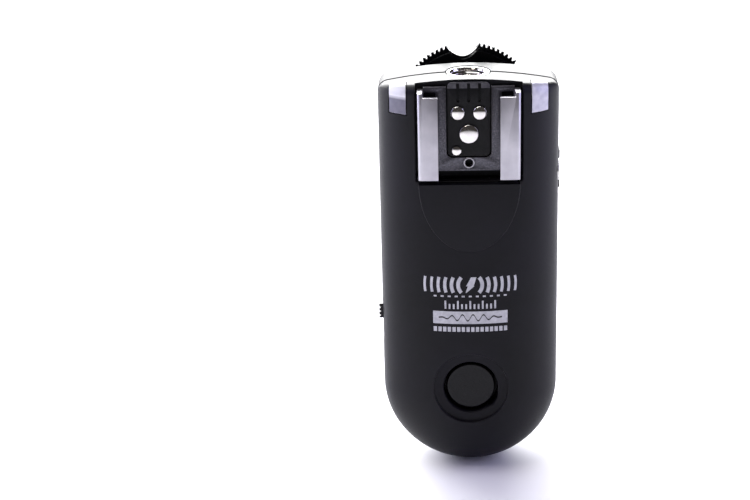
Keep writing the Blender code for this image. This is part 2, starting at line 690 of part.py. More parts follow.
def build_contact_block(surface):
    """Plastic carrier with rounded lower corners and three lead-in grooves."""
    half = CONTACT_BLOCK_WIDTH / 2.0
    start, end = CONTACT_BLOCK_START, end_height(half) - 0.4
    height = end - start
    radius = 1.2
    outline = arc((-half + radius, radius), radius, TURN / 2.0, TURN * 0.75, 3)
    outline += arc((half - radius, radius), radius, TURN * 0.75, TURN, 3)
    outline += [(half, height), (-half, height)]
    carrier = front_plate("contact_block", [outline], SHOE_FLOOR, SHOE_FLOOR + SHOE_BASE_SHEET,
                          (0.0, start), surface)
    for index, x in enumerate((-2.3, 0.0, 2.3)):
        cut(carrier, block(f"lead_in_{index}", (x - 0.25, 2.0, end - 5.0), (x + 0.25, SHOE_FLOOR + 0.3, FAR)))
    for name, x, z, _ in shoe_contact_places():
        cut(carrier, rod(f"block_hole_{name}", RIVET_RADIUS + GAP, (x, 0.0, z), 10.0, "+Y", steps=12))
    return carrier


def build_shoe_contact(name, x, z, radius, surface):
    """Domed rivet head on the carrier with a shank that reaches the board."""
    head = SHOE_FLOOR - GAP
    low = head - CONTACT_PROUD
    shank = BOARD_FRONT - GAP - low
    return turned(f"shoe_contact_{name}",
                  [(0.0, shank), (RIVET_RADIUS, shank), (RIVET_RADIUS, head - low + 0.05),
                   (radius, head - low + 0.05), (radius * 0.8, (head - low) * 0.45),
                   (radius * 0.4, 0.06), (0.0, 0.0)],
                  (x, low, z), "+Y", surface, steps=20)


# ---------------------------------------------------------------- windows and lamps

def build_window(name, side, surface, outer):
    """Clear light guide, the casing's own skin where it wraps over the edge."""
    guide = as_part(outer, name, surface)
    inside = casing_form(f"{name}_inside", 1.5, 4)
    boolean(guide, window_cutter(f"{name}_prism", side, 0.0), "INTERSECT")
    return cut(guide, inside)


def build_lamp(name, side, surface):
    """Small round lamp on the board, under its window."""
    across, up = LAMP_PLACE
    return turned(name, [(0.0, LAMP_HEIGHT), (LAMP_RADIUS, LAMP_HEIGHT), (LAMP_RADIUS, 0.9),
                         (LAMP_RADIUS * 0.7, 0.25), (0.0, 0.0)],
                  (side * across, BOARD_FRONT - GAP - LAMP_HEIGHT, up), "+Y", surface, steps=16)


# ---------------------------------------------------------------- button

def build_button(cap_surface, pad_surface, switch_surface):
    cap_low = BUTTON_TOP_DEPTH
    cap_end = BUTTON_THICKNESS
    switch_start = BOARD_FRONT - GAP - 1.0
    stem_end = switch_start - BUTTON_TRAVEL - BUTTON_PAD_CRUSHED - cap_low
    profile = [(0.0, stem_end), (1.7, stem_end), (1.7, cap_end), (BUTTON_RADIUS, cap_end),
               (BUTTON_RADIUS, 0.45), (BUTTON_RADIUS - 0.45, 0.08), (2.4, 0.0), (0.0, 0.0)]
    turned("shutter_button", profile, (0.0, cap_low, BUTTON_HEIGHT), "+Y", cap_surface, steps=36)
    pad_start = cap_low + stem_end + 0.1
    rod("button_return_pad", 1.4, (0.0, pad_start, BUTTON_HEIGHT), switch_start - 0.1 - pad_start, "+Y",
        pad_surface, steps=16)
    block("button_switch", (-3.0, switch_start, BUTTON_HEIGHT - 3.0),
          (3.0, BOARD_FRONT - GAP, BUTTON_HEIGHT + 3.0), switch_surface)


# ---------------------------------------------------------------- slide switch and jack

def build_slide_switch(knob_surface, body_surface):
    half = SWITCH_KNOB_WIDTH / 2.0
    knob = block("power_switch_knob", (-HALF_WIDTH - SWITCH_PROUD, SEAM_DEPTH - half,
                                       SWITCH_HEIGHT - SWITCH_KNOB_LENGTH / 2.0),
                 (-SWITCH_BODY_OUTSIDE - GAP, SEAM_DEPTH + half, SWITCH_HEIGHT + SWITCH_KNOB_LENGTH / 2.0),
                 knob_surface)
    for index, step in enumerate((-0.9, 0.0, 0.9)):
        cut(knob, block(f"knob_groove_{index}", (-HALF_WIDTH - 3.0, 0.0, SWITCH_HEIGHT + step - 0.25),
                        (-HALF_WIDTH - 0.4, 30.0, SWITCH_HEIGHT + step + 0.25)))
    middle = SWITCH_HEIGHT - SWITCH_TRAVEL / 2.0
    block("power_switch_body", (-SWITCH_BODY_OUTSIDE, BOARD_BACK + GAP, middle - 5.0),
          (-BAY_OUTSIDE - GAP, BOARD_BACK + 3.9, middle + 5.0), body_surface)


def build_jack(ring_surface, body_surface):
    outside = HALF_WIDTH - 0.1
    start = outside - JACK_BODY_LENGTH
    tube("remote_jack_ring", JACK_RING_RADIUS, JACK_BORE + 0.1, (outside - 1.6, SEAM_DEPTH, JACK_HEIGHT),
         1.75, "+X", ring_surface, steps=20)
    body = block("remote_jack_body", (start, BOARD_BACK + GAP, JACK_HEIGHT - 2.6),
                 (outside - 3.0, BOARD_BACK + GAP + 4.6, JACK_HEIGHT + 2.6), body_surface)
    cut(body, rod("jack_bore", JACK_BORE, (start + 2.0, SEAM_DEPTH, JACK_HEIGHT), 20.0, "+X", steps=16))


# ---------------------------------------------------------------- sync socket

def build_sync_socket(shell_surface, plastic_surface, tube_surface):
    top = SOCKET_PROUD + SOCKET_DEPTH
    start = (0.0, SEAM_DEPTH, BODY_LENGTH - SOCKET_DEPTH)
    turned("sync_socket_shell",
           [(SOCKET_RADIUS - 0.15, top), (SOCKET_RADIUS, top - 0.15), (SOCKET_RADIUS, 3.0),
            (SOCKET_RADIUS - 0.4, 3.0), (SOCKET_RADIUS - 0.4, 0.0), (SOCKET_BORE, 0.0),
            (SOCKET_BORE, top - 0.5), (SOCKET_BORE + 0.2, top)],
           start, "+Z", shell_surface, steps=32)
    insulator = SOCKET_BORE - GAP
    tube("sync_socket_insulator", insulator, SOCKET_TUBE_RADIUS + GAP, (0.0, SEAM_DEPTH, start[2] + 0.2),
         2.6, "+Z", plastic_surface, steps=24)
    turned("sync_socket_pin",
           [(SOCKET_TUBE_RADIUS, top - 1.0), (SOCKET_TUBE_RADIUS, 0.0), (0.0, 0.0), (0.0, top - 4.0),
            (SOCKET_TUBE_BORE, top - 4.0), (SOCKET_TUBE_BORE, top - 1.0)],
           start, "+Z", tube_surface, steps=20)


# ---------------------------------------------------------------- boards and electronics

def build_boards(board, can, chip, metal, copper):
    ear = LAMP_PLACE[0] + BOARD_EAR
    half = BOARD_HALF_WIDTH
    top, shoulder, start = BOARD_TOP, BOARD_SHOULDER, BOARD_START
    outline = [(-half + 4.0, start), (half - 4.0, start), (half, start + 5.0), (half, shoulder),
               (ear, shoulder), (ear, top), (-ear, top), (-ear, shoulder), (-half, shoulder),
               (-half, start + 5.0)]
    front_plate("main_board", [outline], BOARD_FRONT, BOARD_BACK, (0.0, 0.0), board)
    front = BOARD_FRONT - GAP
    block("radio_module", (-11.0, front - 2.2, start + 21.0), (1.0, front, start + 37.0), can)
    block("controller_chip", (3.0, front - 1.2, start + 28.0), (10.0, front, start + 35.0), chip)
    block("crystal", (4.0, front - 1.6, start + 21.5), (7.6, front, start + 25.0), metal)
    rod("storage_capacitor", 2.0, (7.5, front - 2.0, start + 39.0), 7.0, "+Z", chip, steps=16)
    points = [(-9.0 + 2.4 * (i % 4 > 1), front - 0.6, start + 39.5 + 1.9 * ((i + 1) // 2)) for i in range(8)]
    wire("antenna_wire", points, 0.4, copper)


def build_channel_switch(body_surface, board_surface, slider_surface):
    width, depth, height = CHANNEL_SWITCH_SIZE
    low = BAY_END + BAY_WALL + 2.0 * GAP
    top = DECK_DEPTH - GAP
    middle = low + height / 2.0
    block("channel_board", (-6.0, top - depth - GAP - 1.0, low + 0.3),
          (6.0, top - depth - GAP, low + height + 1.2), board_surface)
    body = block("channel_switch_body", (-width / 2.0, top - depth, low), (width / 2.0, top, low + height),
                 body_surface)
    half = CHANNEL_SLIDER_SIZE / 2.0
    for index in range(CHANNEL_COUNT):
        x = (index - (CHANNEL_COUNT - 1) / 2.0) * CHANNEL_SLIDER_PITCH
        reach = CHANNEL_TRAVEL / 2.0 + half + 0.2
        cut(body, block(f"slider_slot_{index}", (x - half - 0.12, top - 1.2, middle - reach),
                        (x + half + 0.12, top + 2.0, middle + reach)))
        rest = middle - CHANNEL_TRAVEL / 2.0
        block(f"channel_slider_{index + 1}", (x - half, top - 0.95, rest - half),
              (x + half, top + 0.35, rest + half), slider_surface)


# ---------------------------------------------------------------- batteries

def coil_points(x, y, z_low, z_high, wide, narrow, turns):
    """Conical spring: the radius falls evenly along its length."""
    count = turns * 8
    points = []
    for i in range(count + 1):
        share = i / count
        radius = wide + (narrow - wide) * share
        angle = TURN * turns * share
        points.append((x + radius * math.cos(angle), y + radius * math.sin(angle),
                       z_low + (z_high - z_low) * share))
    return points


def build_batteries(cell_surface, spring_surface):
    for name, side in (("left", -1.0), ("right", 1.0)):
        x = side * CELL_SPACING / 2.0
        turn_over = side > 0.0
        sheet_z = BAY_START + GAP if turn_over else BAY_END - GAP - CONTACT_SHEET
        nub, body = 0.8, CELL_LENGTH - 0.8
        if turn_over:
            start = sheet_z + CONTACT_SHEET + GAP / 2.0
            profile = [(0.0, CELL_LENGTH), (CELL_RADIUS - 0.4, CELL_LENGTH), (CELL_RADIUS, CELL_LENGTH - 0.4),
                       (CELL_RADIUS, nub + 0.4), (CELL_RADIUS - 0.4, nub), (1.9, nub), (1.9, 0.0), (0.0, 0.0)]
            coil = (BAY_END - GAP, start + CELL_LENGTH + GAP)
        else:
            start = sheet_z - GAP / 2.0 - CELL_LENGTH
            profile = [(0.0, CELL_LENGTH), (1.9, CELL_LENGTH), (1.9, body), (CELL_RADIUS - 0.4, body),
                       (CELL_RADIUS, body - 0.4), (CELL_RADIUS, 0.4), (CELL_RADIUS - 0.4, 0.0), (0.0, 0.0)]
            coil = (BAY_START + GAP, start - GAP)
        turned(f"battery_{name}", profile, (x, CELL_DEPTH, start), "+Z", cell_surface, steps=24)
        thickness = 0.25
        sign = 1.0 if coil[1] > coil[0] else -1.0
        points = coil_points(x, CELL_DEPTH, coil[0] + sign * thickness, coil[1] - sign * thickness,
                             3.4, 1.8, 3)
        wire(f"battery_spring_{name}", points, thickness * 0.9, spring_surface)
        block(f"battery_contact_{name}", (x - 3.6, CELL_DEPTH - 3.6, sheet_z),
              (x + 3.6, CELL_DEPTH + 3.6, sheet_z + CONTACT_SHEET), spring_surface)


# ---------------------------------------------------------------- screws

def build_screws(surface):
    head_back = DECK_DEPTH - 0.2
    head = 1.2
    length = 10.8
    for index, (x, z) in enumerate(screw_places()):
        profile = [(0.0, length), (SCREW_HEAD_RADIUS - 0.3, length), (SCREW_HEAD_RADIUS, length - 0.3),
                   (SCREW_HEAD_RADIUS, length - head), (SCREW_SHANK_RADIUS, length - head),
                   (SCREW_SHANK_RADIUS, 0.5), (0.0, 0.0)]
        screw = turned(f"case_screw_{index + 1}", profile, (x, head_back - length, z), "+Y", surface,
                       steps=16)
        slot_long = block(f"driver_slot_long_{index}", (x - 1.2, head_back - 0.6, z - 0.22),
                          (x + 1.2, head_back + 2.0, z + 0.22))
        slot_cross = block(f"driver_slot_cross_{index}", (x - 0.22, head_back - 0.6, z - 1.2),
                           (x + 0.22, head_back + 2.0, z + 1.2))
        cut(screw, slot_long, slot_cross)


# ---------------------------------------------------------------- foot

def wheel_outline():
    """Six toothed lobes with a round scallop between each pair, about the wheel's middle."""
    lobe = WHEEL_TOOTH_PITCH * (WHEEL_TEETH - 1) + WHEEL_TOOTH_PITCH * 0.3
    step = TURN / WHEEL_LOBES
    root = WHEEL_RADIUS - WHEEL_TOOTH_DEPTH
    points = []
    for index in range(WHEEL_LOBES):
        middle = TURN / 4.0 + WHEEL_START_ANGLE + step * (index + 0.5)
        first = middle - WHEEL_TOOTH_PITCH * (WHEEL_TEETH - 1) / 2.0
        for tooth in range(WHEEL_TEETH):
            angle = first + WHEEL_TOOTH_PITCH * tooth
            for radius, shift in ((WHEEL_RADIUS, -0.18), (WHEEL_RADIUS, 0.18), (root, 0.5)):
                if tooth == WHEEL_TEETH - 1 and radius == root:
                    continue
                turn = angle + shift * WHEEL_TOOTH_PITCH
                points.append((radius * math.cos(turn), radius * math.sin(turn)))
        edge = middle + lobe / 2.0
        width = step - lobe
        for i in range(1, 8):
            share = i / 8.0
            turn = edge + width * share
            radius = WHEEL_RADIUS - WHEEL_SCALLOP_DEPTH * math.sin(math.pi * share) ** 0.8
            points.append((radius * math.cos(turn), radius * math.sin(turn)))
    return points


def build_wheel(surface):
    """Knurled locking wheel whose thread runs on the stem."""
    wheel = front_plate("locking_wheel", [wheel_outline()], WHEEL_FRONT, WHEEL_BACK, (0.0, FOOT_Z), surface)
    return cut(wheel, rod("wheel_bore", STEM_RADIUS + GAP, (0.0, 0.0, FOOT_Z), FAR, "+Y", steps=32))


def build_stem(surface):
    """Hollow threaded stem, with a spigot through the casing and a groove for the lock pin."""
    inside = BODY_BACK - WALL - GAP
    spigot = STEM_RADIUS / 2.0
    top = FOOT_INNER - GAP - (inside - 1.5)
    shoulder = BODY_BACK + BOSS_HEIGHT + GAP - (inside - 1.5)
    stem = turned("foot_stem", [(0.0, top), (STEM_RADIUS, top), (STEM_RADIUS, shoulder), (spigot, shoulder),
                                (spigot, 1.5), (STEM_RADIUS - 1.0, 1.5), (STEM_RADIUS - 1.0, 0.0),
                                (0.0, 0.0)],
                  (0.0, inside - 1.5, FOOT_Z), "+Y", surface, steps=32)
    groove = rod("lock_groove", LOCK_PIN_RADIUS + 0.4, (0.0, WHEEL_BACK, LOCK_Z), FAR, "+Y", steps=16)
    pin_room = rod("pin_room", FOOT_PIN_RADIUS + GAP, (0.0, WHEEL_FRONT + 0.7, FOOT_Z), FAR, "+Y",
                   steps=16)
    cut(stem, groove, pin_room)
    for name, x, z in foot_pin_places():
        if name != "main":
            cut(stem, rod(f"stem_well_{name}", FOOT_PIN_RADIUS + GAP, (x, FOOT_INNER - GAP - 1.2, z),
                          FAR, "+Y", steps=16))
    return stem


def build_washer(surface, pin_surface):
    """Clamping washer keyed to the stem's groove; it carries the lock pin."""
    front = WHEEL_BACK + GAP
    outer = WASHER_RADIUS
    ring = arc((0.0, 0.0), outer, 0.0, TURN, 28)[:-1]
    hole = arc((0.0, 0.0), STEM_RADIUS + GAP, 0.0, TURN, 28)[:-1]
    washer = front_plate("clamp_washer", [ring, hole], front, front + WASHER_SHEET, (0.0, FOOT_Z), surface)
    key = block("washer_key", (-LOCK_PIN_RADIUS, front + 0.05, LOCK_Z - 1.4),
                (LOCK_PIN_RADIUS, front + WASHER_SHEET - 0.05, LOCK_Z + 0.5))
    join(washer, key)
    start = front + WASHER_SHEET + 0.1
    tip = FOOT_FACE + LOCK_PIN_PROUD - WHEEL_TRAVEL
    length = tip - start
    turned("lock_pin", [(0.0, length), (LOCK_PIN_RADIUS - 0.25, length), (LOCK_PIN_RADIUS, length - 0.3),
                        (LOCK_PIN_RADIUS, 0.0), (0.0, 0.0)],
           (0.0, start, LOCK_Z), "+Y", pin_surface, steps=16)


def foot_pin_places():
    across, up = SIDE_CONTACT
    dot_across, dot_up = DOT_CONTACT
    return [("main", 0.0, FOOT_Z), ("left", -across, FOOT_Z + up), ("right", across, FOOT_Z + up),
            ("dot", dot_across, FOOT_Z + dot_up)]


def build_foot(plate_surface, insert_surface, pin_surface, spring_surface):
    outer = rounded_rectangle(FOOT_WIDTH, FOOT_LENGTH, 0.9)
    width, length = FOOT_INSERT
    room = rounded_rectangle(width + 2.0 * GAP, length + 2.0 * GAP, 1.0)
    front_plate("foot_plate", [outer, room], FOOT_INNER, FOOT_FACE, (0.0, FOOT_Z), plate_surface)
    insert = front_plate("foot_insert", [rounded_rectangle(width, length, 0.8)], FOOT_INNER, FOOT_FACE,
                         (0.0, FOOT_Z), insert_surface)
    for name, x, z in foot_pin_places():
        cut(insert, rod(f"foot_hole_{name}", FOOT_PIN_RADIUS + 0.2, (x, 20.0, z), 30.0, "+Y", steps=16))
    cut(insert, rod("foot_lock_hole", LOCK_PIN_RADIUS + GAP, (0.0, 20.0, LOCK_Z), 30.0, "+Y", steps=16))
    for name, x, z in foot_pin_places():
        length = FOOT_PIN_LENGTH if name == "main" else FOOT_SHEET + FOOT_PIN_PROUD - 0.1
        start = FOOT_FACE + FOOT_PIN_PROUD - length
        turned(f"foot_pin_{name}", [(0.0, length), (FOOT_PIN_RADIUS * 0.55, length - 0.1),
                                    (FOOT_PIN_RADIUS, length - 0.5), (FOOT_PIN_RADIUS, 0.0), (0.0, 0.0)],
               (x, start, z), "+Y", pin_surface, steps=16)
    spring_end = FOOT_FACE + FOOT_PIN_PROUD - FOOT_PIN_LENGTH - 0.35
    spring_start = WHEEL_FRONT + 1.1
    turns, count = 4, 32
    rise = (spring_end - spring_start) / count
    points = [(0.7 * math.cos(TURN * turns * i / count), spring_start + rise * i,
               FOOT_Z + 0.7 * math.sin(TURN * turns * i / count)) for i in range(count + 1)]
    wire("foot_pin_spring", points, 0.17, spring_surface)


# ---------------------------------------------------------------- assembly

def main():
    clear_scene()
    black = material("matte_black_plastic", (0.010, 0.010, 0.014), 0.48)
    gloss = material("gloss_black_plastic", (0.008, 0.008, 0.010), 0.25)
    inner_black = material("inner_plastic", (0.02, 0.02, 0.022), 0.6)
    nickel = material("nickel_steel", (0.52, 0.51, 0.53), 0.32, 1.0)
    bright = material("bright_plate", (0.72, 0.72, 0.74), 0.18, 1.0)
    clear = material("clear_window", (0.75, 0.75, 0.80), 0.1)
    lamp = material("lamp", (0.35, 0.02, 0.02), 0.2)
    board = material("board", (0.02, 0.12, 0.05), 0.4)
    copper = material("copper", (0.55, 0.25, 0.12), 0.3, 1.0)
    cell = material("battery_wrap", (0.05, 0.12, 0.30), 0.3)
    rubber = material("rubber_pad", (0.05, 0.05, 0.05), 0.8)
    white = material("white_plastic", (0.7, 0.7, 0.68), 0.4)

    outer = casing_form("casing_outside", 0.0, 8)
    hollow = casing_form("casing_hollow", WALL, 5)
    holes = side_cutters()
    build_front_shell(black, outer, hollow, holes)
    build_back_shell(black, outer, hollow, holes)
    build_battery_door(black, outer)

    build_shoe_plate(nickel)
    build_contact_block(inner_black)
    for name, x, z, radius in shoe_contact_places():
        build_shoe_contact(name, x, z, radius, bright)

    for name, side in (("left", -1.0), ("right", 1.0)):
        build_window(f"light_window_{name}", side, clear, outer)
        build_lamp(f"lamp_{name}", side, lamp)

    build_button(gloss, rubber, inner_black)
    build_slide_switch(gloss, inner_black)
    build_jack(nickel, inner_black)
    build_sync_socket(bright, inner_black, bright)
    build_boards(board, nickel, inner_black, nickel, copper)
    build_channel_switch(inner_black, board, white)
    build_batteries(cell, bright)
    build_screws(nickel)

    build_wheel(gloss)
    build_stem(nickel)
    build_washer(nickel, bright)
    build_foot(bright, inner_black, bright, bright)


main()
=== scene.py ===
"""Looks of the wireless flash trigger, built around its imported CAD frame.

Shapes are worked out in body millimetres: x across, y back from the front crown, z up from the
tail's tip.  place() turns them into the frame's metres.
"""
import json
import math

import bmesh
import bpy
import numpy as np
from mathutils import Matrix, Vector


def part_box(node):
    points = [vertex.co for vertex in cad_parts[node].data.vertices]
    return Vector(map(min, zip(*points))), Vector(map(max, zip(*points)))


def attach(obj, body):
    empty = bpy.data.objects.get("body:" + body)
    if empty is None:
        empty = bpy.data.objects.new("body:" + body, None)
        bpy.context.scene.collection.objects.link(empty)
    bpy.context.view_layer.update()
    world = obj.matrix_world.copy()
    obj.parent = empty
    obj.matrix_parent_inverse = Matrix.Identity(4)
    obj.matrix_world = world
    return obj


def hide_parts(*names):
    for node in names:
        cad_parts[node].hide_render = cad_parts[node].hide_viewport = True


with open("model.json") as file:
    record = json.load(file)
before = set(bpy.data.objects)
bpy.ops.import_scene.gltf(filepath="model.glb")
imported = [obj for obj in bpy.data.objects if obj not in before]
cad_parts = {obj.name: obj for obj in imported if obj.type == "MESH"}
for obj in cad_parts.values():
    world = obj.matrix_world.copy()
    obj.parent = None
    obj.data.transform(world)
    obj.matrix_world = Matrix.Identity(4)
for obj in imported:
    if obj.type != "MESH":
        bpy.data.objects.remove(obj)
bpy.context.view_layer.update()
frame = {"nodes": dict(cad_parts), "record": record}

bl_info = {
    "name": "Wireless flash trigger",
    "version": (1, 0, 0),
    "blender": (4, 5, 0),
    "location": "View3D > Sidebar > Flash trigger",
    "description": "Builds the surfaces and finishes of a radio flash trigger around its frame",
    "category": "Object",
}

MM = 0.001
TURN = 2.0 * math.pi
GAP = 0.3                       # clearance that the frame keeps between touching pieces
FAR = 60.0                      # reach of cutting tools that only one face of matters on

RECORD = frame["record"]
BODY_OF = {node: body for body, nodes in RECORD["behaviour"]["bodies"].items() for node in nodes}
ORIGIN = np.array([0.0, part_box("shoe_plate")[0].y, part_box("front_shell")[0].z])


def span(node):
    """Lowest and highest corner of a CAD node in body millimetres."""
    low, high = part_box(node)
    return (np.array(low) - ORIGIN) / MM, (np.array(high) - ORIGIN) / MM


def middle(node):
    """Middle of a CAD node's box in body millimetres."""
    low, high = span(node)
    return (low + high) / 2.0


# Casing, from the frame
HALF = span("front_shell")[1][0]
SEAM = span("front_shell")[1][1] + GAP / 2.0
BACK = span("battery_door")[1][1]
LENGTH = span("back_shell")[1][2]
DECK = span("battery_door")[0][1] - GAP
DOOR_TOP = span("battery_door")[1][2]
WALL = 2.0
CROWN_POWER = 2.15
CROWN_APEX = 0.06
END_ARCH = 92.0
CORNER = 2.6
END_EDGE = 2.0
BACK_EDGE = 5.0
INNER_FLOOR = 6.2               # plastic behind the recess and the button's well

# Hot shoe, from the frame
SHOE_LOW, SHOE_HIGH = span("shoe_plate")
SHOE_SHEET = 1.2
SHOE_BASE = span("contact_block")[0][1]
SHOE_BACK = SHOE_HIGH[1]
LIP_GAP = 13.1
LIP_END = SHOE_LOW[2] + 17.9
RAIL_END = SHOE_LOW[2] + 18.9
BLOCK_LOW, BLOCK_HIGH = span("contact_block")
RECESS_HALF = SHOE_HIGH[0] + 0.5
RECESS_START = SHOE_LOW[2] - 0.7
RECESS_FLOOR = SHOE_BACK + GAP
TONGUE_HALF = SHOE_HIGH[0]
TONGUE_LENGTH = 15.5
CONTACTS = ("main", "left", "right", "dot")
FOOT_X, _, FOOT_Z = middle("foot_plate")
LOCK_HOLE = (0.0, 0.0, middle("shoe_contact_main")[2] - 6.3)

# Button, from the frame
BUTTON_LOW, BUTTON_HIGH = span("shutter_button")
BUTTON_Z = middle("shutter_button")[2]
BUTTON_RADIUS = BUTTON_HIGH[0]
WELL_RADIUS = BUTTON_RADIUS + 0.65
WELL_FLOOR = 5.7
FACE_RADIUS = 8.2
FACE_DEPTH = 1.35

# Windows, from the frame
WINDOW_LOW, WINDOW_HIGH = span("light_window_right")

# Radii of holes
STEM_HOLE = 2.2
JACK_HOLE = 2.6
SOCKET_HOLE = 4.88


# ---------------------------------------------------------------- meshes

def place(x, y, z):
    """Body millimetres to world metres; the three may be arrays of any one shape."""
    return np.stack(np.broadcast_arrays(x, y, z), axis=-1) * MM + ORIGIN


def grid_faces(rows, columns, wrap_rows=False, wrap_columns=True):
    """Four-sided faces between neighbouring rows and columns of a grid of points."""
    i = np.arange(rows if wrap_rows else rows - 1)[:, None]
    j = np.arange(columns if wrap_columns else columns - 1)[None, :]
    below, beside = (i + 1) % rows, (j + 1) % columns
    corners = (i * columns + j, i * columns + beside, below * columns + beside, below * columns + j)
    return np.stack(np.broadcast_arrays(*corners), axis=-1).reshape(-1, 4)


def mesh_object(name, points, faces):
    """Object at the origin whose mesh has its doubles merged and its faces turned outwards."""
    mesh = bpy.data.meshes.new(name)
    mesh.from_pydata(points.reshape(-1, 3).tolist(), [], faces)
    piece = bpy.data.objects.new(name, mesh)
    bpy.context.scene.collection.objects.link(piece)
    tidy(piece)
    return piece


def tidy(piece, distance=0.0000015, sharp=35.0):
    """Merges doubles, turns the faces outwards, and shades smooth between sharp edges."""
    bm = bmesh.new()
    bm.from_mesh(piece.data)
    bmesh.ops.remove_doubles(bm, verts=bm.verts, dist=distance)
    bmesh.ops.dissolve_degenerate(bm, edges=bm.edges, dist=distance / 2.0)
    bmesh.ops.recalc_face_normals(bm, faces=bm.faces)
    bm.to_mesh(piece.data)
    bm.free()
    piece.data.shade_smooth()
    piece.data.set_sharp_from_angle(angle=math.radians(sharp))


def surface(name, grid, wrap_rows=False, caps=False, wrap_columns=True):
    """Surface through a grid of points (rows, columns, 3); caps close its first and last row."""
    rows, columns = grid.shape[:2]
    faces = grid_faces(rows, columns, wrap_rows, wrap_columns).tolist()
    if caps:
        faces.append(list(range(columns))[::-1])
        faces.append(list(range((rows - 1) * columns, rows * columns)))
    return mesh_object(name, grid, faces)


def joined(name, pieces):
    """One object from several separate closed ones."""
    bm = bmesh.new()
    for piece in pieces:
        bm.from_mesh(piece.data)
        bpy.data.objects.remove(piece, do_unlink=True)
    mesh = bpy.data.meshes.new(name)
    bm.to_mesh(mesh)
    bm.free()
    made = bpy.data.objects.new(name, mesh)
    bpy.context.scene.collection.objects.link(made)
    return made


def apply(piece):
    """Turns a piece's modifiers into its own mesh."""
    bpy.context.view_layer.update()
    result = bpy.data.meshes.new_from_object(piece.evaluated_get(bpy.context.evaluated_depsgraph_get()))
    piece.modifiers.clear()
    piece.data = result


def carve(piece, operation, *tools):
    """Cuts, joins or intersects a piece with tools, one after another, and removes the tools."""
    for tool in tools:
        change = piece.modifiers.new(tool.name, "BOOLEAN")
        change.operation = operation
        change.solver = "EXACT"
        change.object = tool
    apply(piece)
    for tool in tools:
        bpy.data.objects.remove(tool, do_unlink=True)
    tidy(piece)
    return piece


def cut(piece, *tools):
    """Cuts a piece with tools."""
    return carve(piece, "DIFFERENCE", *tools)


def bevelled(piece, width, segments=2, angle=40.0):
    """Rounds a piece's sharp edges; the width is in millimetres."""
    change = piece.modifiers.new("rounded edges", "BEVEL")
    change.width = width * MM
    change.segments = segments
    change.limit_method = "ANGLE"
    change.angle_limit = math.radians(angle)
    change.use_clamp_overlap = True
    apply(piece)
    tidy(piece)
    return piece


def softened(points, radius, steps=4, closed=True):
    """Outline with each corner p replaced by a parabola from p + t u to p + t v, bent towards p.

    u and v point to p's neighbours, and t is the radius, at most 0.45 of either side.
    """
    points = np.asarray(points, float)
    before = np.roll(points, 1, axis=0) - points
    after = np.roll(points, -1, axis=0) - points
    lengths = np.linalg.norm(before, axis=1), np.linalg.norm(after, axis=1)
    reach = np.minimum(radius, 0.45 * np.minimum(*lengths))
    if not closed:
        reach[[0, -1]] = 0.0
    start = points + before / np.maximum(lengths[0], 1e-9)[:, None] * reach[:, None]
    end = points + after / np.maximum(lengths[1], 1e-9)[:, None] * reach[:, None]
    s = np.linspace(0.0, 1.0, steps + 1)[None, :, None]
    curve = (1 - s) ** 2 * start[:, None] + 2 * s * (1 - s) * points[:, None] + s ** 2 * end[:, None]
    return curve.reshape(-1, 2)


def turned(name, profile, centre, axis, steps=96, closed=False):
    """Surface of revolution: profile rows are (radius, distance along the axis from centre)."""
    profile = np.asarray(profile, float)
    radius, along = profile[:, :1], profile[:, 1:]
    angle = np.linspace(0.0, TURN, steps, endpoint=False)[None, :]
    across, up = radius * np.cos(angle), radius * np.sin(angle)
    local = {"x": (along, across, up), "y": (across, along, up), "z": (across, up, along)}[axis]
    x, y, z = (part + offset for part, offset in zip(local, centre))
    return surface(name, place(x, y, z), wrap_rows=closed)


def inset(outline, distance):
    """Outline moved inwards along its own normals; it runs anticlockwise."""
    side = np.roll(outline, -1, axis=0) - np.roll(outline, 1, axis=0)
    side /= np.maximum(np.linalg.norm(side, axis=1, keepdims=True), 1e-9)
    return outline + np.stack([-side[:, 1], side[:, 0]], axis=-1) * distance


def slab(name, outline, low, high, axis="y", edge=0.0, steps=3):
    """Outline (u, v) swept from low to high along an axis, with edges rounded by a quarter turn."""
    turn = np.linspace(0.0, TURN / 4.0, steps + 1) if edge else np.array([TURN / 4.0])
    ins = edge * (1.0 - np.sin(turn))
    rise = edge * (1.0 - np.cos(turn))
    layers = [(i, low + r) for i, r in zip(ins, rise)] + [(i, high - r) for i, r in zip(ins, rise)][::-1]
    rows = []
    for distance, level in layers:
        u, v = inset(outline, distance).T if distance else np.asarray(outline).T
        rows.append({"y": place(u, level, v), "z": place(u, v, level), "x": place(level, u, v)}[axis])
    return surface(name, np.array(rows), caps=True)


def block(name, low, high):
    """Plain box between two corners, as a cutting tool."""
    outline = np.array([(low[0], low[2]), (high[0], low[2]), (high[0], high[2]), (low[0], high[2])], float)
    return slab(name, outline, low[1], high[1])


def rounded_rectangle(width, height, radius, count=8):
    """Rectangle about the origin with quarter-circle corners, anticlockwise."""
    angle = np.linspace(0.0, TURN / 4.0, count + 1)
    quarters = np.arange(4)[:, None]
    turn = angle[None, :] + quarters * TURN / 4.0
    across = np.array([1, -1, -1, 1])[:, None] * (width / 2.0 - radius)
    up = np.array([1, 1, -1, -1])[:, None] * (height / 2.0 - radius)
    return np.stack([across + radius * np.cos(turn), up + radius * np.sin(turn)], axis=-1).reshape(-1, 2)


def drill(name, centre, radius, low, high, axis="y", steps=48):
    """Plain cylinder along an axis, as a cutting tool."""
    return turned(name, [(0.0, low), (radius, low), (radius, high), (0.0, high)], centre, axis, steps)


def wear(piece, finish):
    """Gives a piece one finish."""
    piece.data.materials.clear()
    piece.data.materials.append(finish)


def slice_through(name, y=(-FAR, FAR), z=(-FAR, 2.0 * FAR)):
    """Cutting tool across the whole width, between two depths and two heights."""
    return block(name, (-FAR, y[0], z[0]), (FAR, y[1], z[1]))


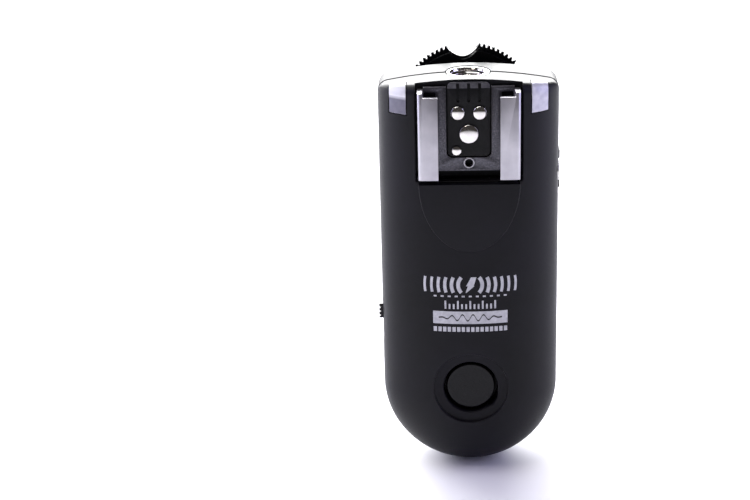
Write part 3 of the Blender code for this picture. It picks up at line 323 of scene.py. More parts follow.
def paint(piece, finish, chosen):
    """Gives another finish to the faces that chosen(middles in body millimetres, normals) picks."""
    count = len(piece.data.polygons)
    middles, normals = np.empty(count * 3), np.empty(count * 3)
    index = np.empty(count, np.int32)
    piece.data.polygons.foreach_get("center", middles)
    piece.data.polygons.foreach_get("normal", normals)
    piece.data.polygons.foreach_get("material_index", index)
    picked = chosen((middles.reshape(-1, 3) - ORIGIN) / MM, normals.reshape(-1, 3))
    index[picked] = len(piece.data.materials)
    piece.data.polygons.foreach_set("material_index", index)
    piece.data.materials.append(finish)


def stand_for(piece, finish, *nodes):
    """Dresses a piece, ties it to the body of the CAD nodes that it replaces, and hides those nodes."""
    if finish is not None:
        wear(piece, finish)
    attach(piece, BODY_OF[nodes[0]])
    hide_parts(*nodes)
    return piece


def added(piece, finish, beside):
    """Dresses a piece that replaces no CAD node and ties it to the body of the one beside it."""
    wear(piece, finish)
    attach(piece, BODY_OF[beside])


def spun(node, profile, centre, axis, steps, finish, closed=False):
    """Turned piece that stands for one CAD node."""
    return stand_for(turned(f"{node}_skin", profile, centre, axis, steps, closed), finish, node)


# ---------------------------------------------------------------- casing form

FINE = (16, 12, 48, 110)        # points along a side, round a corner, along the end, round the tail
COARSE = (6, 5, 8, 30)
RIM_EDGE = 0.12
RIM = 0.3                       # quarter round where a sunk shape opens
CLEAR = -6.0                    # depth well in front of the casing, for cutting tools


def end_height(x):
    """Height of the arched end face: the length less x squared over twice the arch's radius."""
    return LENGTH - x * x / (2.0 * END_ARCH)


def crown(x, z, inset_by=0.0):
    """Depth of the crowned front: a superellipse of the distance in from the casing's side."""
    half = HALF - inset_by
    side = half - np.where(z > HALF, np.abs(x), np.hypot(x, z - HALF))
    share = 1.0 - np.clip(side / half, 0.0, 1.0)
    rise = (1.0 - share ** CROWN_POWER) ** (1.0 / CROWN_POWER)
    apex = CROWN_APEX + inset_by
    return apex + (SEAM - apex) * (1.0 - rise)


def inner_corner(inset_by):
    """Radius of the end's corners on an outline that is drawn in."""
    return max(CORNER - inset_by, 0.8)


def outline_ring(half, end_inset, corner, counts):
    """Casing outline as x, z and weight: side, corner, arched end, and the same mirrored, then tail.

    The weight is 1 on the end face, 0 on sides and tail, and the sine squared round the corners.
    """
    side, bend, top, tail = counts
    corner = min(corner, half * 0.9)
    corner_x = half - corner
    turn_x = corner_x
    for _ in range(4):
        lean = math.atan(turn_x / END_ARCH)
        turn_x = corner_x + corner * math.sin(lean)
    last = TURN / 4.0 - lean
    corner_z = end_height(turn_x) - end_inset - corner * math.sin(last)
    angle = np.linspace(0.0, last, bend)
    right_x = np.concatenate([np.full(side, half), corner_x + corner * np.cos(angle)])
    right_z = np.concatenate([np.linspace(HALF, corner_z, side, endpoint=False),
                              corner_z + corner * np.sin(angle)])
    right_w = np.concatenate([np.zeros(side), np.sin(angle) ** 2])
    top_x = np.linspace(turn_x, -turn_x, top + 2)[1:-1]
    tail_angle = np.linspace(TURN / 2.0, TURN, tail + 2)[1:-1]
    x = np.concatenate([right_x, top_x, -right_x[::-1], half * np.cos(tail_angle)])
    z = np.concatenate([right_z, end_height(top_x) - end_inset, right_z[::-1],
                        HALF + half * np.sin(tail_angle)])
    weight = np.concatenate([right_w, np.ones(top), right_w[::-1], np.zeros(tail)])
    return x, z, weight


def crown_rows(inset_by, rings, rim_depth, floor=-1.0):
    """Rows of the crowned front from its rim to its middle line.

    Each row is the outline drawn in by a step; its depth is the crown plus, at the end face, the
    drop of a quarter-round edge.
    """
    rows = []
    half = HALF - inset_by
    edge = max(END_EDGE - inset_by, 0.5)
    for turn in np.linspace(0.0, TURN / 4.0, rings + 1):
        step = half * (1.0 - max(math.cos(turn), 0.0) ** (2.0 / CROWN_POWER))
        x, z, weight = outline_ring(half - step, inset_by + step, inner_corner(inset_by), FINE)
        reach = max(edge - step, 0.0)
        drop = edge - math.sqrt(edge * edge - reach * reach)
        y = np.clip(crown(x, z, inset_by) + drop * weight, floor, rim_depth)
        rows.append(place(x, y, z))
    return rows


def rim_row(inset_by, y, counts):
    """The casing's outline at one depth."""
    x, z, _ = outline_ring(HALF - inset_by, inset_by, inner_corner(inset_by), counts)
    return place(x, y, z)


def front_form():
    """Closed cup of the front shell: inside wall from its middle out, rim at the seam, crown back in."""
    seam = SEAM - GAP / 2.0
    inner = crown_rows(WALL, 14, seam, INNER_FLOOR)[::-1]
    return surface("front_shell_skin",
                   np.array(inner + [rim_row(RIM_EDGE, seam, FINE)] + crown_rows(0.0, 46, seam - RIM_EDGE)))


def back_rows(inset_by, start, end, counts=FINE, steps=10):
    """Rows of the back half: straight walls from start, then a quarter-round edge to the flat back."""
    edge = max(BACK_EDGE - inset_by, 1.0)
    rows = [rim_row(inset_by, start, counts)]
    for turn in np.linspace(0.0, TURN / 4.0, steps + 1):
        step = edge * (1.0 - math.cos(turn))
        x, z, _ = outline_ring(HALF - inset_by - step, inset_by + step, inner_corner(inset_by), counts)
        rows.append(place(x, end - edge + edge * math.sin(turn), z))
    return rows


def hollow_form(name, start, end_inset=WALL):
    """Closed solid of the room inside the back half, as a cutting tool."""
    return surface(name, np.array(back_rows(end_inset, start, BACK - end_inset, COARSE, 5)), caps=True)


def stacked(name, layers):
    """Closed cutting tool through outlines (x, z), each at its own depth."""
    rows = [place(outline[:, 0], depth, outline[:, 1]) for outline, depth in layers]
    return surface(name, np.array(rows), caps=True)


def flared(outline_at, rim, level, steps):
    """Layers that open by a quarter round up to level(x, z); outline_at(grow) gives the outline."""
    outlines = [(outline_at(rim * (1.0 - math.cos(a))), rim * (1.0 - math.sin(a)))
                for a in np.linspace(0.0, TURN / 4.0, steps)]
    return [(outline, level(*outline.T) + drop) for outline, drop in outlines]


def recess_outline(grow):
    """Recess for the shoe, open through the end face."""
    half, low, high = RECESS_HALF + grow, RECESS_START - grow, LENGTH + 6.0
    return softened([(half, high), (-half, high), (-half, low), (half, low)], 0.5)


def well_outline(radius, notch=0.0):
    """Round outline about the button, with a shallow lobe at its lower right."""
    def outline(grow):
        angle = np.linspace(0.0, TURN, 144, endpoint=False)
        off = (angle - math.radians(328.0)) / math.radians(17.0)
        size = radius + grow + notch * np.exp(-off ** 4)
        return np.stack([size * np.cos(angle), BUTTON_Z + size * np.sin(angle)], axis=-1)
    return outline


def recess_room():
    """Cutting tool for the shoe's recess, opened by a quarter round at the crown."""
    wall_top = float(crown(np.array(RECESS_HALF), np.array(LENGTH - 8.0))) + 0.4
    floor_outline = recess_outline(0.0)
    return stacked("recess", [(floor_outline, RECESS_FLOOR), (floor_outline, wall_top),
                              *flared(recess_outline, RIM, crown, 6), (recess_outline(RIM), CLEAR)])


def button_room():
    """Cutting tool for the button's faced-off ring and its well, as one stack of circles."""
    well, face = well_outline(WELL_RADIUS, 0.45), well_outline(FACE_RADIUS)
    layers = [(well(0.0), WELL_FLOOR), *flared(well, RIM, lambda x, z: FACE_DEPTH, 6)]
    layers += [(face(grow), FACE_DEPTH - rise) for grow, rise in ((-0.25, 0.0), (-0.06, 0.06), (0.0, 0.25))]
    layers += flared(face, RIM, lambda x, z: np.minimum(crown(x, z), FACE_DEPTH - 0.3 - RIM), 5)
    return stacked("button_room", layers + [(face(RIM), CLEAR)])


def window_rows(side, play, out, depth):
    """Rows across a window that follow the casing's front, its rounded edge and its end face.

    Each row runs along the outside, raised by out, and back along a line sunk by depth.
    """
    centre = (WINDOW_LOW[0] + WINDOW_HIGH[0]) / 2.0
    half = (WINDOW_HIGH[0] - WINDOW_LOW[0]) / 2.0 + play
    x = side * (centre + np.linspace(-half, half, 13))[:, None]
    share = np.linspace(0.0, 1.0, 9)[None, :]
    last_y = WINDOW_HIGH[1] + play
    level = end_height(x)

    def line(offset):
        radius = END_EDGE + offset
        start = np.full_like(x, WINDOW_LOW[2] - play)
        front = start + (level - END_EDGE - start) * np.linspace(0.0, 1.0, 8)[None, :-1]
        centre_y = crown(x, level - END_EDGE) + END_EDGE
        turn = share * np.arccos(np.clip((centre_y - last_y) / radius, 0.0, 1.0))
        z_turn = level - END_EDGE + radius * np.sin(turn)
        y = np.concatenate([crown(x, front) - offset, centre_y - radius * np.cos(turn),
                            np.full_like(x, last_y)], axis=1)
        return np.minimum(y, last_y), np.concatenate([front, z_turn, z_turn[:, -1:]], axis=1)
    outer_y, outer_z = line(out)
    inner_y, inner_z = line(-depth)
    y = np.concatenate([outer_y, inner_y[:, ::-1]], axis=1)
    z = np.concatenate([outer_z, inner_z[:, ::-1]], axis=1)
    return place(np.broadcast_to(x, y.shape), y, z)


def side_holes():
    """Tools for the holes that both shells share: switch window, jack and sync socket."""
    switch_low, switch_high = span("power_switch_knob")
    jack = middle("remote_jack_ring")
    socket = middle("sync_socket_shell")
    return joined("side_holes", [
        block("switch_hole", (-HALF - 5.0, switch_low[1] - GAP, switch_low[2] - 5.4),
              (-HALF + 5.0, switch_high[1] + GAP, switch_high[2] + 0.4)),
        drill("jack_hole", jack, JACK_HOLE, -5.0, 8.0, "x"),
        drill("socket_hole", socket, SOCKET_HOLE, -5.0, 12.0, "z", 96),
    ])


# ---------------------------------------------------------------- node trees

def linear(code):
    """sRGB hex colour to linear red, green, blue and alpha."""
    levels = np.array([int(code[i:i + 2], 16) for i in (1, 3, 5)]) / 255.0
    values = np.where(levels <= 0.04045, levels / 12.92, ((levels + 0.055) / 1.055) ** 2.4)
    return (*values.tolist(), 1.0)


def per_mm(size):
    """Noise scale whose cells are this many millimetres wide."""
    return 1.0 / (size * MM)


def node(tree, kind, values=None, links=None, **settings):
    """Adds a node, sets its own settings and its sockets' values, and links its inputs."""
    made = tree.nodes.new("ShaderNode" + kind)
    for name, value in settings.items():
        setattr(made, name, value)
    for socket, value in (values or {}).items():
        made.inputs[socket].default_value = value
    for socket, source in (links or {}).items():
        tree.links.new(source, made.inputs[socket])
    return made


def start(name, **sockets):
    """New material with a Principled shader; returns it, its tree, its shader and object coordinates."""
    made = bpy.data.materials.new(name)
    made.use_nodes = True
    tree = made.node_tree
    tree.nodes.clear()
    shader = node(tree, "BsdfPrincipled",
                  {key.replace("_", " ").title().replace("Ior", "IOR"): value
                   for key, value in sockets.items()})
    node(tree, "OutputMaterial", links={"Surface": shader.outputs["BSDF"]})
    place_node = node(tree, "TexCoord").outputs["Object"]
    return made, tree, shader, place_node


def ramp(tree, source, low, high, start_at=0.3, end_at=0.7):
    """Socket that runs from one colour to another as its source rises."""
    made = node(tree, "ValToRGB", links={"Fac": source})
    first, last = made.color_ramp.elements
    first.position, first.color = start_at, linear(low)
    last.position, last.color = end_at, linear(high)
    return made.outputs["Color"]


def span_value(tree, source, low, high, start_at=0.3, end_at=0.7):
    """Socket that runs from one number to another as its source rises."""
    return node(tree, "MapRange", {"From Min": start_at, "From Max": end_at, "To Min": low,
                                             "To Max": high}, {"Value": source}).outputs["Result"]


def noise(tree, vector, size, detail=3.0, stretch=None):
    """Noise with cells of a size in millimetres, drawn out by stretch along each axis."""
    if stretch is not None:
        vector = node(tree, "Mapping", {"Scale": stretch}, {"Vector": vector}).outputs["Vector"]
    return node(tree, "TexNoise", {"Scale": per_mm(size), "Detail": detail},
                {"Vector": vector}).outputs["Fac"]


def feed(tree, shader, height, depth, **sources):
    """Links sockets to the shader's inputs, and a height as bump of a real depth in millimetres."""
    for name, source in sources.items():
        tree.links.new(source, shader.inputs[name.replace("_", " ")])
    raised = node(tree, "Bump", {"Strength": 1.0, "Distance": depth * MM}, {"Height": height})
    tree.links.new(raised.outputs["Normal"], shader.inputs["Normal"])


def grained(name, colours, rough, grain, depth, blotch=9.0, stretch=None, **sockets):
    """Finish with slow colour change, uneven gloss and a fine grain, each from noise of a real size."""
    made, tree, shader, where = start(name, **sockets)
    slow = noise(tree, where, blotch)
    fine = noise(tree, where, grain, 4.0, stretch)
    feed(tree, shader, fine, depth, Base_Color=ramp(tree, slow, *colours),
         Roughness=span_value(tree, fine, *rough))
    return made


# ---------------------------------------------------------------- finishes

def finishes(colours):
    """Every finish by its name, made once."""
    made = {}
    # Moulded ABS, spark-eroded tool: an even, dull black whose grain only shows at the highlights.
    # The real grain is about 0.1 mm; 0.28 mm is drawn so that it shows.
    made["casing"] = grained("spark_eroded_abs", (colours.casing_low, colours.casing_high), (0.42, 0.52),
                             0.28, 0.005, blotch=14.0, specular_ior_level=0.16)
    # The same ABS from a finer tool: the button, the switch and the wheel shine a little.
    made["gloss"] = grained("fine_tool_abs", ("#040406", "#07070a"), (0.20, 0.28), 0.6, 0.001,
                            specular_ior_level=0.2)
    # Glass-filled nylon: dull, slightly mottled, for carriers and switch bodies.
    made["nylon"] = grained("glass_filled_nylon", ("#09090b", "#101013"), (0.42, 0.6), 0.4, 0.006,
                            blotch=2.0, specular_ior_level=0.2)
    # Satin nickel on stamped steel: brushed along the rails, which blurs reflections across them.
    made["rail"] = grained("satin_nickel", (colours.nickel_low, colours.nickel_high), (0.34, 0.46), 0.35,
                           0.002, blotch=5.0, stretch=(1.0, 1.0, 0.06), metallic=1.0)
    # The same plate left unbrushed at the shoe's base, painted dark as the shade deep in the recess, with
    # bright specks of grain.
    made["base"] = shaded_speckled_plate()
    # Bright nickel on turned brass: mirror-like, with faint marks of use.
    made["bright"] = grained("bright_nickel", ("#c9c6c4", "#e4e1de"), (0.07, 0.16), 0.6, 0.001,
                             blotch=1.5, metallic=1.0)
    # Tin-plated spring steel: soft shine.
    made["tin"] = grained("tinned_steel", ("#b5b4b0", "#cfcdc8"), (0.22, 0.36), 0.3, 0.002,
                          metallic=1.0)
    # Ground stainless plate of the foot: straight fine lines along its length.
    made["ground"] = grained("ground_steel", ("#b9b8b8", "#d6d5d4"), (0.22, 0.36), 0.25, 0.0025,
                             blotch=6.0, stretch=(1.0, 1.0, 0.04), metallic=1.0)
    # Clear polycarbonate light guide: glassy and faintly violet, rougher where it bends over the end, with a
    # white reflection painted there.
    made["clear"] = clear_guide()
    # The same plastic at its cut edges, which gather light from inside.
    made["rim"] = grained("lit_polycarbonate_edge", ("#b4b3c2", "#d2d1da"), (0.12, 0.2), 0.8, 0.002,
                          blotch=1.5)
    # Nylon, paler, for the upward-facing faces at the top of the contact block.
    made["pale_top"] = grained("pale_topped_nylon", ("#3c3b40", "#55545a"), (0.5, 0.65), 0.25, 0.01, blotch=0.7)
    # Pad-printed ink: pale grey with a little metal flake, thin at its edges.
    made["ink"] = grained("pad_print_ink", (colours.ink_low, colours.ink_high), (0.38, 0.52), 0.22, 0.002,
                          blotch=0.8, metallic=0.25)
    made["ink_dark"] = grained("casing_through_print", ("#131317", "#1c1b21"), (0.42, 0.52), 0.3, 0.002)
    # Silicone rubber: soft and matt.
    made["rubber"] = grained("silicone_rubber", ("#2b2b2d", "#3a3a3c"), (0.62, 0.75), 0.3, 0.01)
    # Injection-moulded acetal: milky white.
    made["white"] = grained("acetal", ("#d9d8d2", "#ecebe6"), (0.35, 0.45), 0.3, 0.003,
                            subsurface_weight=0.1)
    made["copper"] = grained("enamelled_copper", ("#8a4a26", "#b5683a"), (0.2, 0.3), 0.3, 0.001,
                             metallic=1.0)
    made["lens"] = grained("tinted_epoxy", ("#7d1010", "#a81a18"), (0.06, 0.12), 0.5, 0.001,
                           transmission_weight=0.4)
    made["board"] = circuit_board()
    made["cell"] = cell_sleeve()
    return made


def shaded_speckled_plate():
    """Dull plate whose grain sparkles: fine noise lifts small specks out of a metal painted dark as shade."""
    made, tree, shader, where = start("shaded_grained_nickel", metallic=1.0)
    speck = noise(tree, where, 0.22, 5.0)
    feed(tree, shader, speck, 0.006, Base_Color=ramp(tree, speck, "#4b4a50", "#77767d", 0.44, 0.80),
         Roughness=span_value(tree, speck, 0.52, 0.34))
    return made


def clear_guide():
    """Clear plastic: a milky violet body that turns rougher where it bends over the end, with a painted white
    reflection there.
    """
    made, tree, shader, where = start("clear_polycarbonate", ior=1.585, transmission_weight=0.15)
    bend = (WINDOW_HIGH[2] - END_EDGE - 1.0) * MM + ORIGIN[2]
    height = node(tree, "SeparateXYZ", links={"Vector": where}).outputs["Z"]
    # Share of the painted white reflection over the end; it also raises the roughness.
    frost_and_painted_reflection = span_value(tree, height, 0.0, 1.0, bend, bend + 0.8 * MM)
    mixed = node(tree, "Mix", {"B": linear("#e4e4ea")},
                 {"Factor": frost_and_painted_reflection, "A": ramp(tree, noise(tree, where, 1.6), "#5c5a6e", "#68667a")},
                 data_type="RGBA")
    feed(tree, shader, noise(tree, where, 0.9), 0.002, Base_Color=mixed.outputs["Result"],
         Roughness=span_value(tree, frost_and_painted_reflection, 0.10, 0.3, 0.0, 1.0))
    return made


def circuit_board():
    """Green solder mask over copper tracks: bricks stretched along the board, with bright pads."""
    made, tree, shader, where = start("solder_mask")
    flat = node(tree, "Mapping", {"Rotation": (TURN / 4.0, 0.0, 0.0)}, {"Vector": where})
    tracks = node(tree, "TexBrick",
                  {"Color1": linear("#14502c"), "Color2": linear("#1a6136"), "Mortar": linear("#0d3a1f"),
                   "Scale": per_mm(1.6), "Mortar Size": 0.04, "Brick Width": 2.4, "Row Height": 0.4},
                  {"Vector": flat.outputs["Vector"]})
    pads = node(tree, "TexVoronoi", {"Scale": per_mm(2.1)}, {"Vector": where})
    near = span_value(tree, pads.outputs["Distance"], 1.0, 0.0, 0.16, 0.2)
    mixed = node(tree, "Mix", {"B": linear("#b9b2a0")},
                 {"Factor": near, "A": tracks.outputs["Color"]}, data_type="RGBA")
    feed(tree, shader, tracks.outputs["Fac"], 0.02, Base_Color=mixed.outputs["Result"], Metallic=near,
         Roughness=span_value(tree, tracks.outputs["Fac"], 0.3, 0.42, 0.0, 1.0))
    return made


def cell_sleeve():
    """Shrink sleeve on a dry cell: deep blue with a silver band towards one end, finely creased."""
    made, tree, shader, where = start("shrink_sleeve", coat_weight=0.5, coat_roughness=0.12)
    axis = node(tree, "SeparateXYZ", links={"Vector": where})
    band_foot = (span("battery_left")[1][2] - 11.4) * MM + ORIGIN[2]
    band = span_value(tree, axis.outputs["Z"], 0.0, 1.0, band_foot, band_foot + 0.5 * MM)
    mixed = node(tree, "Mix", {"B": linear("#b9bcc2")},
                 {"Factor": band, "A": ramp(tree, noise(tree, where, 6.0), "#12233f", "#1b3258")},
                 data_type="RGBA")
    creases = noise(tree, where, 0.7, 3.0, (1.0, 1.0, 0.15))
    feed(tree, shader, creases, 0.02, Base_Color=mixed.outputs["Result"],
         Metallic=span_value(tree, band, 0.1, 0.6, 0.0, 1.0),
         Roughness=span_value(tree, creases, 0.22, 0.34))
    return made


# ---------------------------------------------------------------- pieces: casing

def front_shell(finish):
    """Crowned front: the cup, its flat tongue, then the recess, well, windows and holes."""
    shell = front_form()
    arc = np.linspace(TURN / 2.0, TURN, 49)
    outline = np.concatenate([
        np.stack([TONGUE_HALF * np.cos(arc), RECESS_START + TONGUE_LENGTH * np.sin(arc)], axis=-1),
        [(TONGUE_HALF, RECESS_START + 1.0), (-TONGUE_HALF, RECESS_START + 1.0)]])
    tongue = slab("tongue", outline, 0.0, 3.4, edge=0.22)
    carve(shell, "UNION", tongue)
    windows = [surface(f"window_slot_{side:+.0f}", window_rows(side, 0.2, 3.0, 1.55), caps=True)
               for side in (-1.0, 1.0)]
    cut(shell, joined("front_rooms", [recess_room(), button_room(), *windows]))
    holes = [drill(f"rivet_hole_{name}", middle(f"shoe_contact_{name}"), 0.9, -2.0, 6.0)
             for name in CONTACTS]
    holes.append(drill("stem_hole", (0.0, WELL_FLOOR, BUTTON_Z), STEM_HOLE, -1.0, 3.0))
    cut(shell, joined("front_holes", holes), side_holes())
    return stand_for(shell, finish, "front_shell")


def back_shell(finish):
    """Back half: walls and flat back, hollowed, with a deck, battery bay, foot boss and side ribs."""
    start_y = SEAM + GAP / 2.0
    rim = [rim_row(RIM_EDGE, start_y, FINE)]
    shell = surface("back_shell_skin", np.array(rim + back_rows(0.0, start_y + RIM_EDGE, BACK)), caps=True)
    under = cut(hollow_form("under_deck", start_y - 3.0), slice_through("deck_up", y=(DECK - 1.4, FAR)))
    behind = cut(hollow_form("behind_shoe", start_y - 3.0),
                 slice_through("door_down", z=(-FAR, DOOR_TOP + GAP + WALL)))
    door_room = slice_through("door_room", (DECK, FAR), (-FAR, DOOR_TOP + GAP))
    cut(shell, under, behind, door_room)
    left, right = span("battery_left"), span("battery_right")
    half = right[1][0] + 0.75
    bay_low, bay_high = span("battery_contact_right")[0][2] - GAP, span("battery_contact_left")[1][2] + GAP
    tray = block("tray", (-half - 1.0, left[0][1] - 1.0, bay_low - 1.0),
                 (half + 1.0, DECK - 0.4, bay_high + 1.0))
    foot_centre = (0.0, 0.0, FOOT_Z)
    boss = turned("boss", softened([(0.0, BACK - 1.0), (8.5, BACK - 1.0), (8.5, BACK + 1.0),
                                    (0.0, BACK + 1.0)], 0.3, closed=False), foot_centre, "y")
    ribs = []
    jack_z = middle("remote_jack_ring")[2]
    for sign in (-1.0, 1.0):
        centre = jack_z + sign * 3.2
        outline = np.array([(0.6, -1.15), (4.0, -1.15), (4.0, 1.15), (0.6, 1.15)]) + (SEAM, centre)
        ribs.append(slab(f"rib_{sign:+.0f}", softened(outline, 0.4), HALF - 1.2, HALF + 0.35, "x", 0.25))
    carve(shell, "UNION", tray, boss, joined("ribs", ribs))
    bay = block("bay", (-half, left[0][1] - GAP, bay_low), (half, 60.0, bay_high))
    switch_low, switch_high = span("channel_switch_body")
    channel = block("channel", (switch_low[0] - GAP, DECK - 4.0, switch_low[2] - GAP),
                    (switch_high[0] + GAP, DECK + 4.0, switch_high[2] + GAP))
    seat = [(0.0, DECK - 6.0), (1.1, DECK - 6.0), (1.1, DECK - 1.8), (2.2, DECK - 1.8), (2.2, DECK + 3.0),
            (0.0, DECK + 3.0)]
    seats = [turned(f"seat_{index}", seat, middle(f"case_screw_{index}") * (1, 0, 1), "y", 32)
             for index in (1, 2, 3, 4)]
    spigot = drill("spigot_hole", foot_centre, 3.3, 15.0, 40.0)
    cut(shell, bay, joined("back_holes", [channel, spigot, *seats]), side_holes())
    return stand_for(shell, finish, "back_shell")


def battery_door(finish):
    """Skin of the lower back with its rounded rim, cut by five finger grooves."""
    door = surface("battery_door_skin", np.array(back_rows(0.0, SEAM, BACK)), caps=True)
    cut(door, slice_through("above", z=(DOOR_TOP, 2.0 * FAR)), slice_through("ahead", y=(-FAR, DECK + GAP)))
    inside = cut(hollow_form("door_inside", DECK - 3.0, 1.7),
                 slice_through("inside_up", z=(DOOR_TOP + 4.0, 2.0 * FAR)))
    grooves = []
    for index in range(5):
        outline = rounded_rectangle(12.0, 1.0, 0.49) + (0.0, DOOR_TOP - 18.3 + 2.2 * index)
        grooves.append(slab(f"groove_{index}", outline, BACK - 0.35, BACK + 3.0))
    cut(door, inside, joined("grooves", grooves))
    return stand_for(door, finish, "battery_door")


# ---------------------------------------------------------------- pieces: hot shoe

def shoe_plate(rail, base):
    """Stamped shoe: walls and lips from one bent outline, base cut out for the contact block."""
    outer, inner, lip = SHOE_HIGH[0], SHOE_HIGH[0] - SHOE_SHEET, LIP_GAP / 2.0
    bend = np.linspace(0.0, TURN / 4.0, 6)
    right = [(outer, SHOE_BACK), (outer, 0.75)]
    right += [(outer - 0.75 + 0.75 * math.cos(a), 0.75 - 0.75 * math.sin(a)) for a in bend[1:]]
    right += [(lip, 0.0), (lip, SHOE_SHEET), (inner, SHOE_SHEET), (inner, SHOE_BASE)]
    half = np.array(right)
    outline = np.concatenate([half, half[::-1] * (-1.0, 1.0)])[::-1]
    plate = slab("shoe_plate_skin", outline, SHOE_LOW[2], SHOE_HIGH[2], "z")
    tools = [block("above_lips", (-inner - 0.2, -2.0, LIP_END), (inner + 0.2, SHOE_BASE - 0.8, 100.0)),
             block("below_base", (-inner + 0.3, SHOE_SHEET + 0.4, 60.0),
                   (inner - 0.3, 8.0, SHOE_LOW[2] + 1.1))]
    width, low = BLOCK_HIGH[0] + GAP, BLOCK_LOW[2] - GAP
    room = softened([(width, 99.0), (-width, 99.0), (-width, low), (width, low)], 1.5, 6)
    tools.append(slab("block_room", room, 2.0, 8.0))
    for side in (-1.0, 1.0):
        near, far = sorted((side * inner, side * 20.0))
        tools.append(block(f"above_rail_{side:+.0f}", (near, -2.0, RAIL_END), (far, 8.0, 100.0)))
        slot = rounded_rectangle(2.5, 1.6, 0.2) + (side * 8.2, LIP_END - 0.35)
        tools.append(slab(f"entry_slot_{side:+.0f}", slot, 2.0, 8.0))
    cut(plate, *tools)
    cut(plate, drill("lock_hole", LOCK_HOLE, 1.25, 0.0, 8.0))
    bevelled(plate, 0.13, 2, 50.0)
    wear(plate, rail)
    # The base's front faces take the plate finish painted dark as the shade deep in the recess.
    paint(plate, base, lambda at, normal: (at[:, 1] > SHOE_BASE - 0.3) & (np.abs(at[:, 0]) < inner - 0.05)
          & (normal[:, 1] < -0.8))
    collar = turned("lock_collar", softened([(1.22, SHOE_BASE - 0.3), (1.22, SHOE_BACK - 0.1),
                                             (0.85, SHOE_BACK - 0.1), (0.85, SHOE_BASE - 0.3)], 0.14),
                    LOCK_HOLE, "y", 48, closed=True)
    added(collar, rail, "shoe_plate")
    return stand_for(plate, None, "shoe_plate")


def contact_block(finish, pale_top):
    """Carrier with rounded low corners, a lead-in groove above each contact, and rivet holes."""
    half, low, high = BLOCK_HIGH[0], BLOCK_LOW[2], BLOCK_HIGH[2]
    outline = softened([(half, high), (-half, high), (-half, low), (half, low)], 1.2, 6)
    carrier = slab("contact_block_skin", outline, BLOCK_LOW[1], BLOCK_HIGH[1], edge=0.1)
    grooves = []
    for x in (-2.3, 0.0, 2.3):
        run = rounded_rectangle(0.62, 8.4, 0.3) + (x, high)
        grooves.append(slab(f"lead_in_{x:+.0f}", run, BLOCK_LOW[1] - 2.0, BLOCK_LOW[1] + 0.45))
    wedge = np.array([(BLOCK_LOW[1] - 1.0, high + 1.0), (BLOCK_LOW[1] + 0.6, high + 1.0),
                      (BLOCK_LOW[1] + 0.5, high - 0.1), (BLOCK_LOW[1] - 1.0, high - 3.3)])
    wedge = slab("lead_in_ramp", wedge, -half - 1.0, half + 1.0, "x")
    holes = [drill(f"block_hole_{name}", middle(f"shoe_contact_{name}") * (1, 0, 1), 0.9, 0.0, 9.0)
             for name in CONTACTS]
    collar_room = drill("collar_room", LOCK_HOLE, 1.5, 0.0, 9.0)
    cut(carrier, wedge, joined("block_holes", grooves + holes + [collar_room]))
    wear(carrier, finish)
    # Faces near the top that face upwards take the paler nylon.
    paint(carrier, pale_top, lambda at, normal: (at[:, 2] > high - 2.2) & (normal[:, 2] > 0.1))
    return stand_for(carrier, None, "contact_block")


def shoe_contacts(finish):
    """Rivet heads: a spherical cap over a short edge, with a shank behind; the small one is flat."""
    for name in CONTACTS:
        low, high = span(f"shoe_contact_{name}")
        centre = (low + high) / 2.0
        radius = high[0] - centre[0]
        quarter = np.linspace(0.0, TURN / 4.0, 14)
        cap = [(radius * math.sin(a), 0.35 - 0.5 * math.cos(a)) for a in quarter]
        if name == "dot":
            cap = [(0.0, 0.1), (radius - 0.15, 0.1), (radius, 0.2)]
        profile = cap + [(radius, 0.40), (0.7, 0.40), (0.7, high[1] - low[1]), (0.0, high[1] - low[1])]
        spun(f"shoe_contact_{name}", profile, (centre[0], low[1], centre[2]), "y", 64, finish)


# ---------------------------------------------------------------- pieces: windows, button, sides

def light_windows(finish, rim):
    """Bent light guides that fill their slots, with softened edges."""
    for side, name in ((-1.0, "left"), (1.0, "right")):
        guide = surface(f"light_window_{name}_skin", window_rows(side, 0.0, 0.06, 1.4), caps=True)
        bevelled(guide, 0.26, 3, 50.0)
        wear(guide, finish)
        paint(guide, rim, lambda at, normal: (normal[:, 0] > 0.3) | (normal[:, 2] < -0.3))
        stand_for(guide, None, f"light_window_{name}")


def shutter_button(finish, pad):
    """Button cap: a flat top, a rounded shoulder and a skirt, on its stem."""
    low, high = BUTTON_LOW[1], BUTTON_HIGH[1]
    shoulder = np.linspace(0.0, TURN / 4.0, 7)
    radius, bend = BUTTON_RADIUS, 0.42
    profile = [(0.0, low + 0.10), (1.6, low + 0.09), (3.2, low + 0.045), (radius - bend - 0.4, low)]
    profile += [(radius - bend + bend * math.sin(a), low + bend * (1.0 - math.cos(a))) for a in shoulder]
    profile += [(radius, low + 2.2), (1.7, low + 2.2), (1.7, high), (0.0, high)]
    centre = (0.0, 0.0, BUTTON_Z)
    spun("shutter_button", profile, centre, "y", 128, finish)
    pad_low, pad_high = span("button_return_pad")
    soft = softened([(0.0, pad_low[1]), (1.4, pad_low[1]), (1.1, middle("button_return_pad")[1]),
                     (1.4, pad_high[1]), (0.0, pad_high[1])], 0.2, closed=False)
    spun("button_return_pad", soft, centre, "y", 40, pad)


def switch_knob(finish):
    """Slide knob: rounded bar with three thumb grooves across its outer end."""
    low, high = span("power_switch_knob")
    centre = (low + high) / 2.0
    outline = rounded_rectangle(high[1] - low[1], high[2] - low[2], 0.35) + (centre[1], centre[2])
    knob = slab("power_switch_knob_skin", outline, low[0], high[0], "x", 0.2)
    grooves = []
    for step in (-0.95, 0.0, 0.95):
        outline = rounded_rectangle(0.8, 0.46, 0.22) + (low[0], centre[2] + step)
        grooves.append(slab(f"thumb_groove_{step:+.0f}", outline, low[1] - 1.0, high[1] + 1.0))
    cut(knob, joined("thumb_grooves", grooves))
    return stand_for(knob, finish, "power_switch_knob")


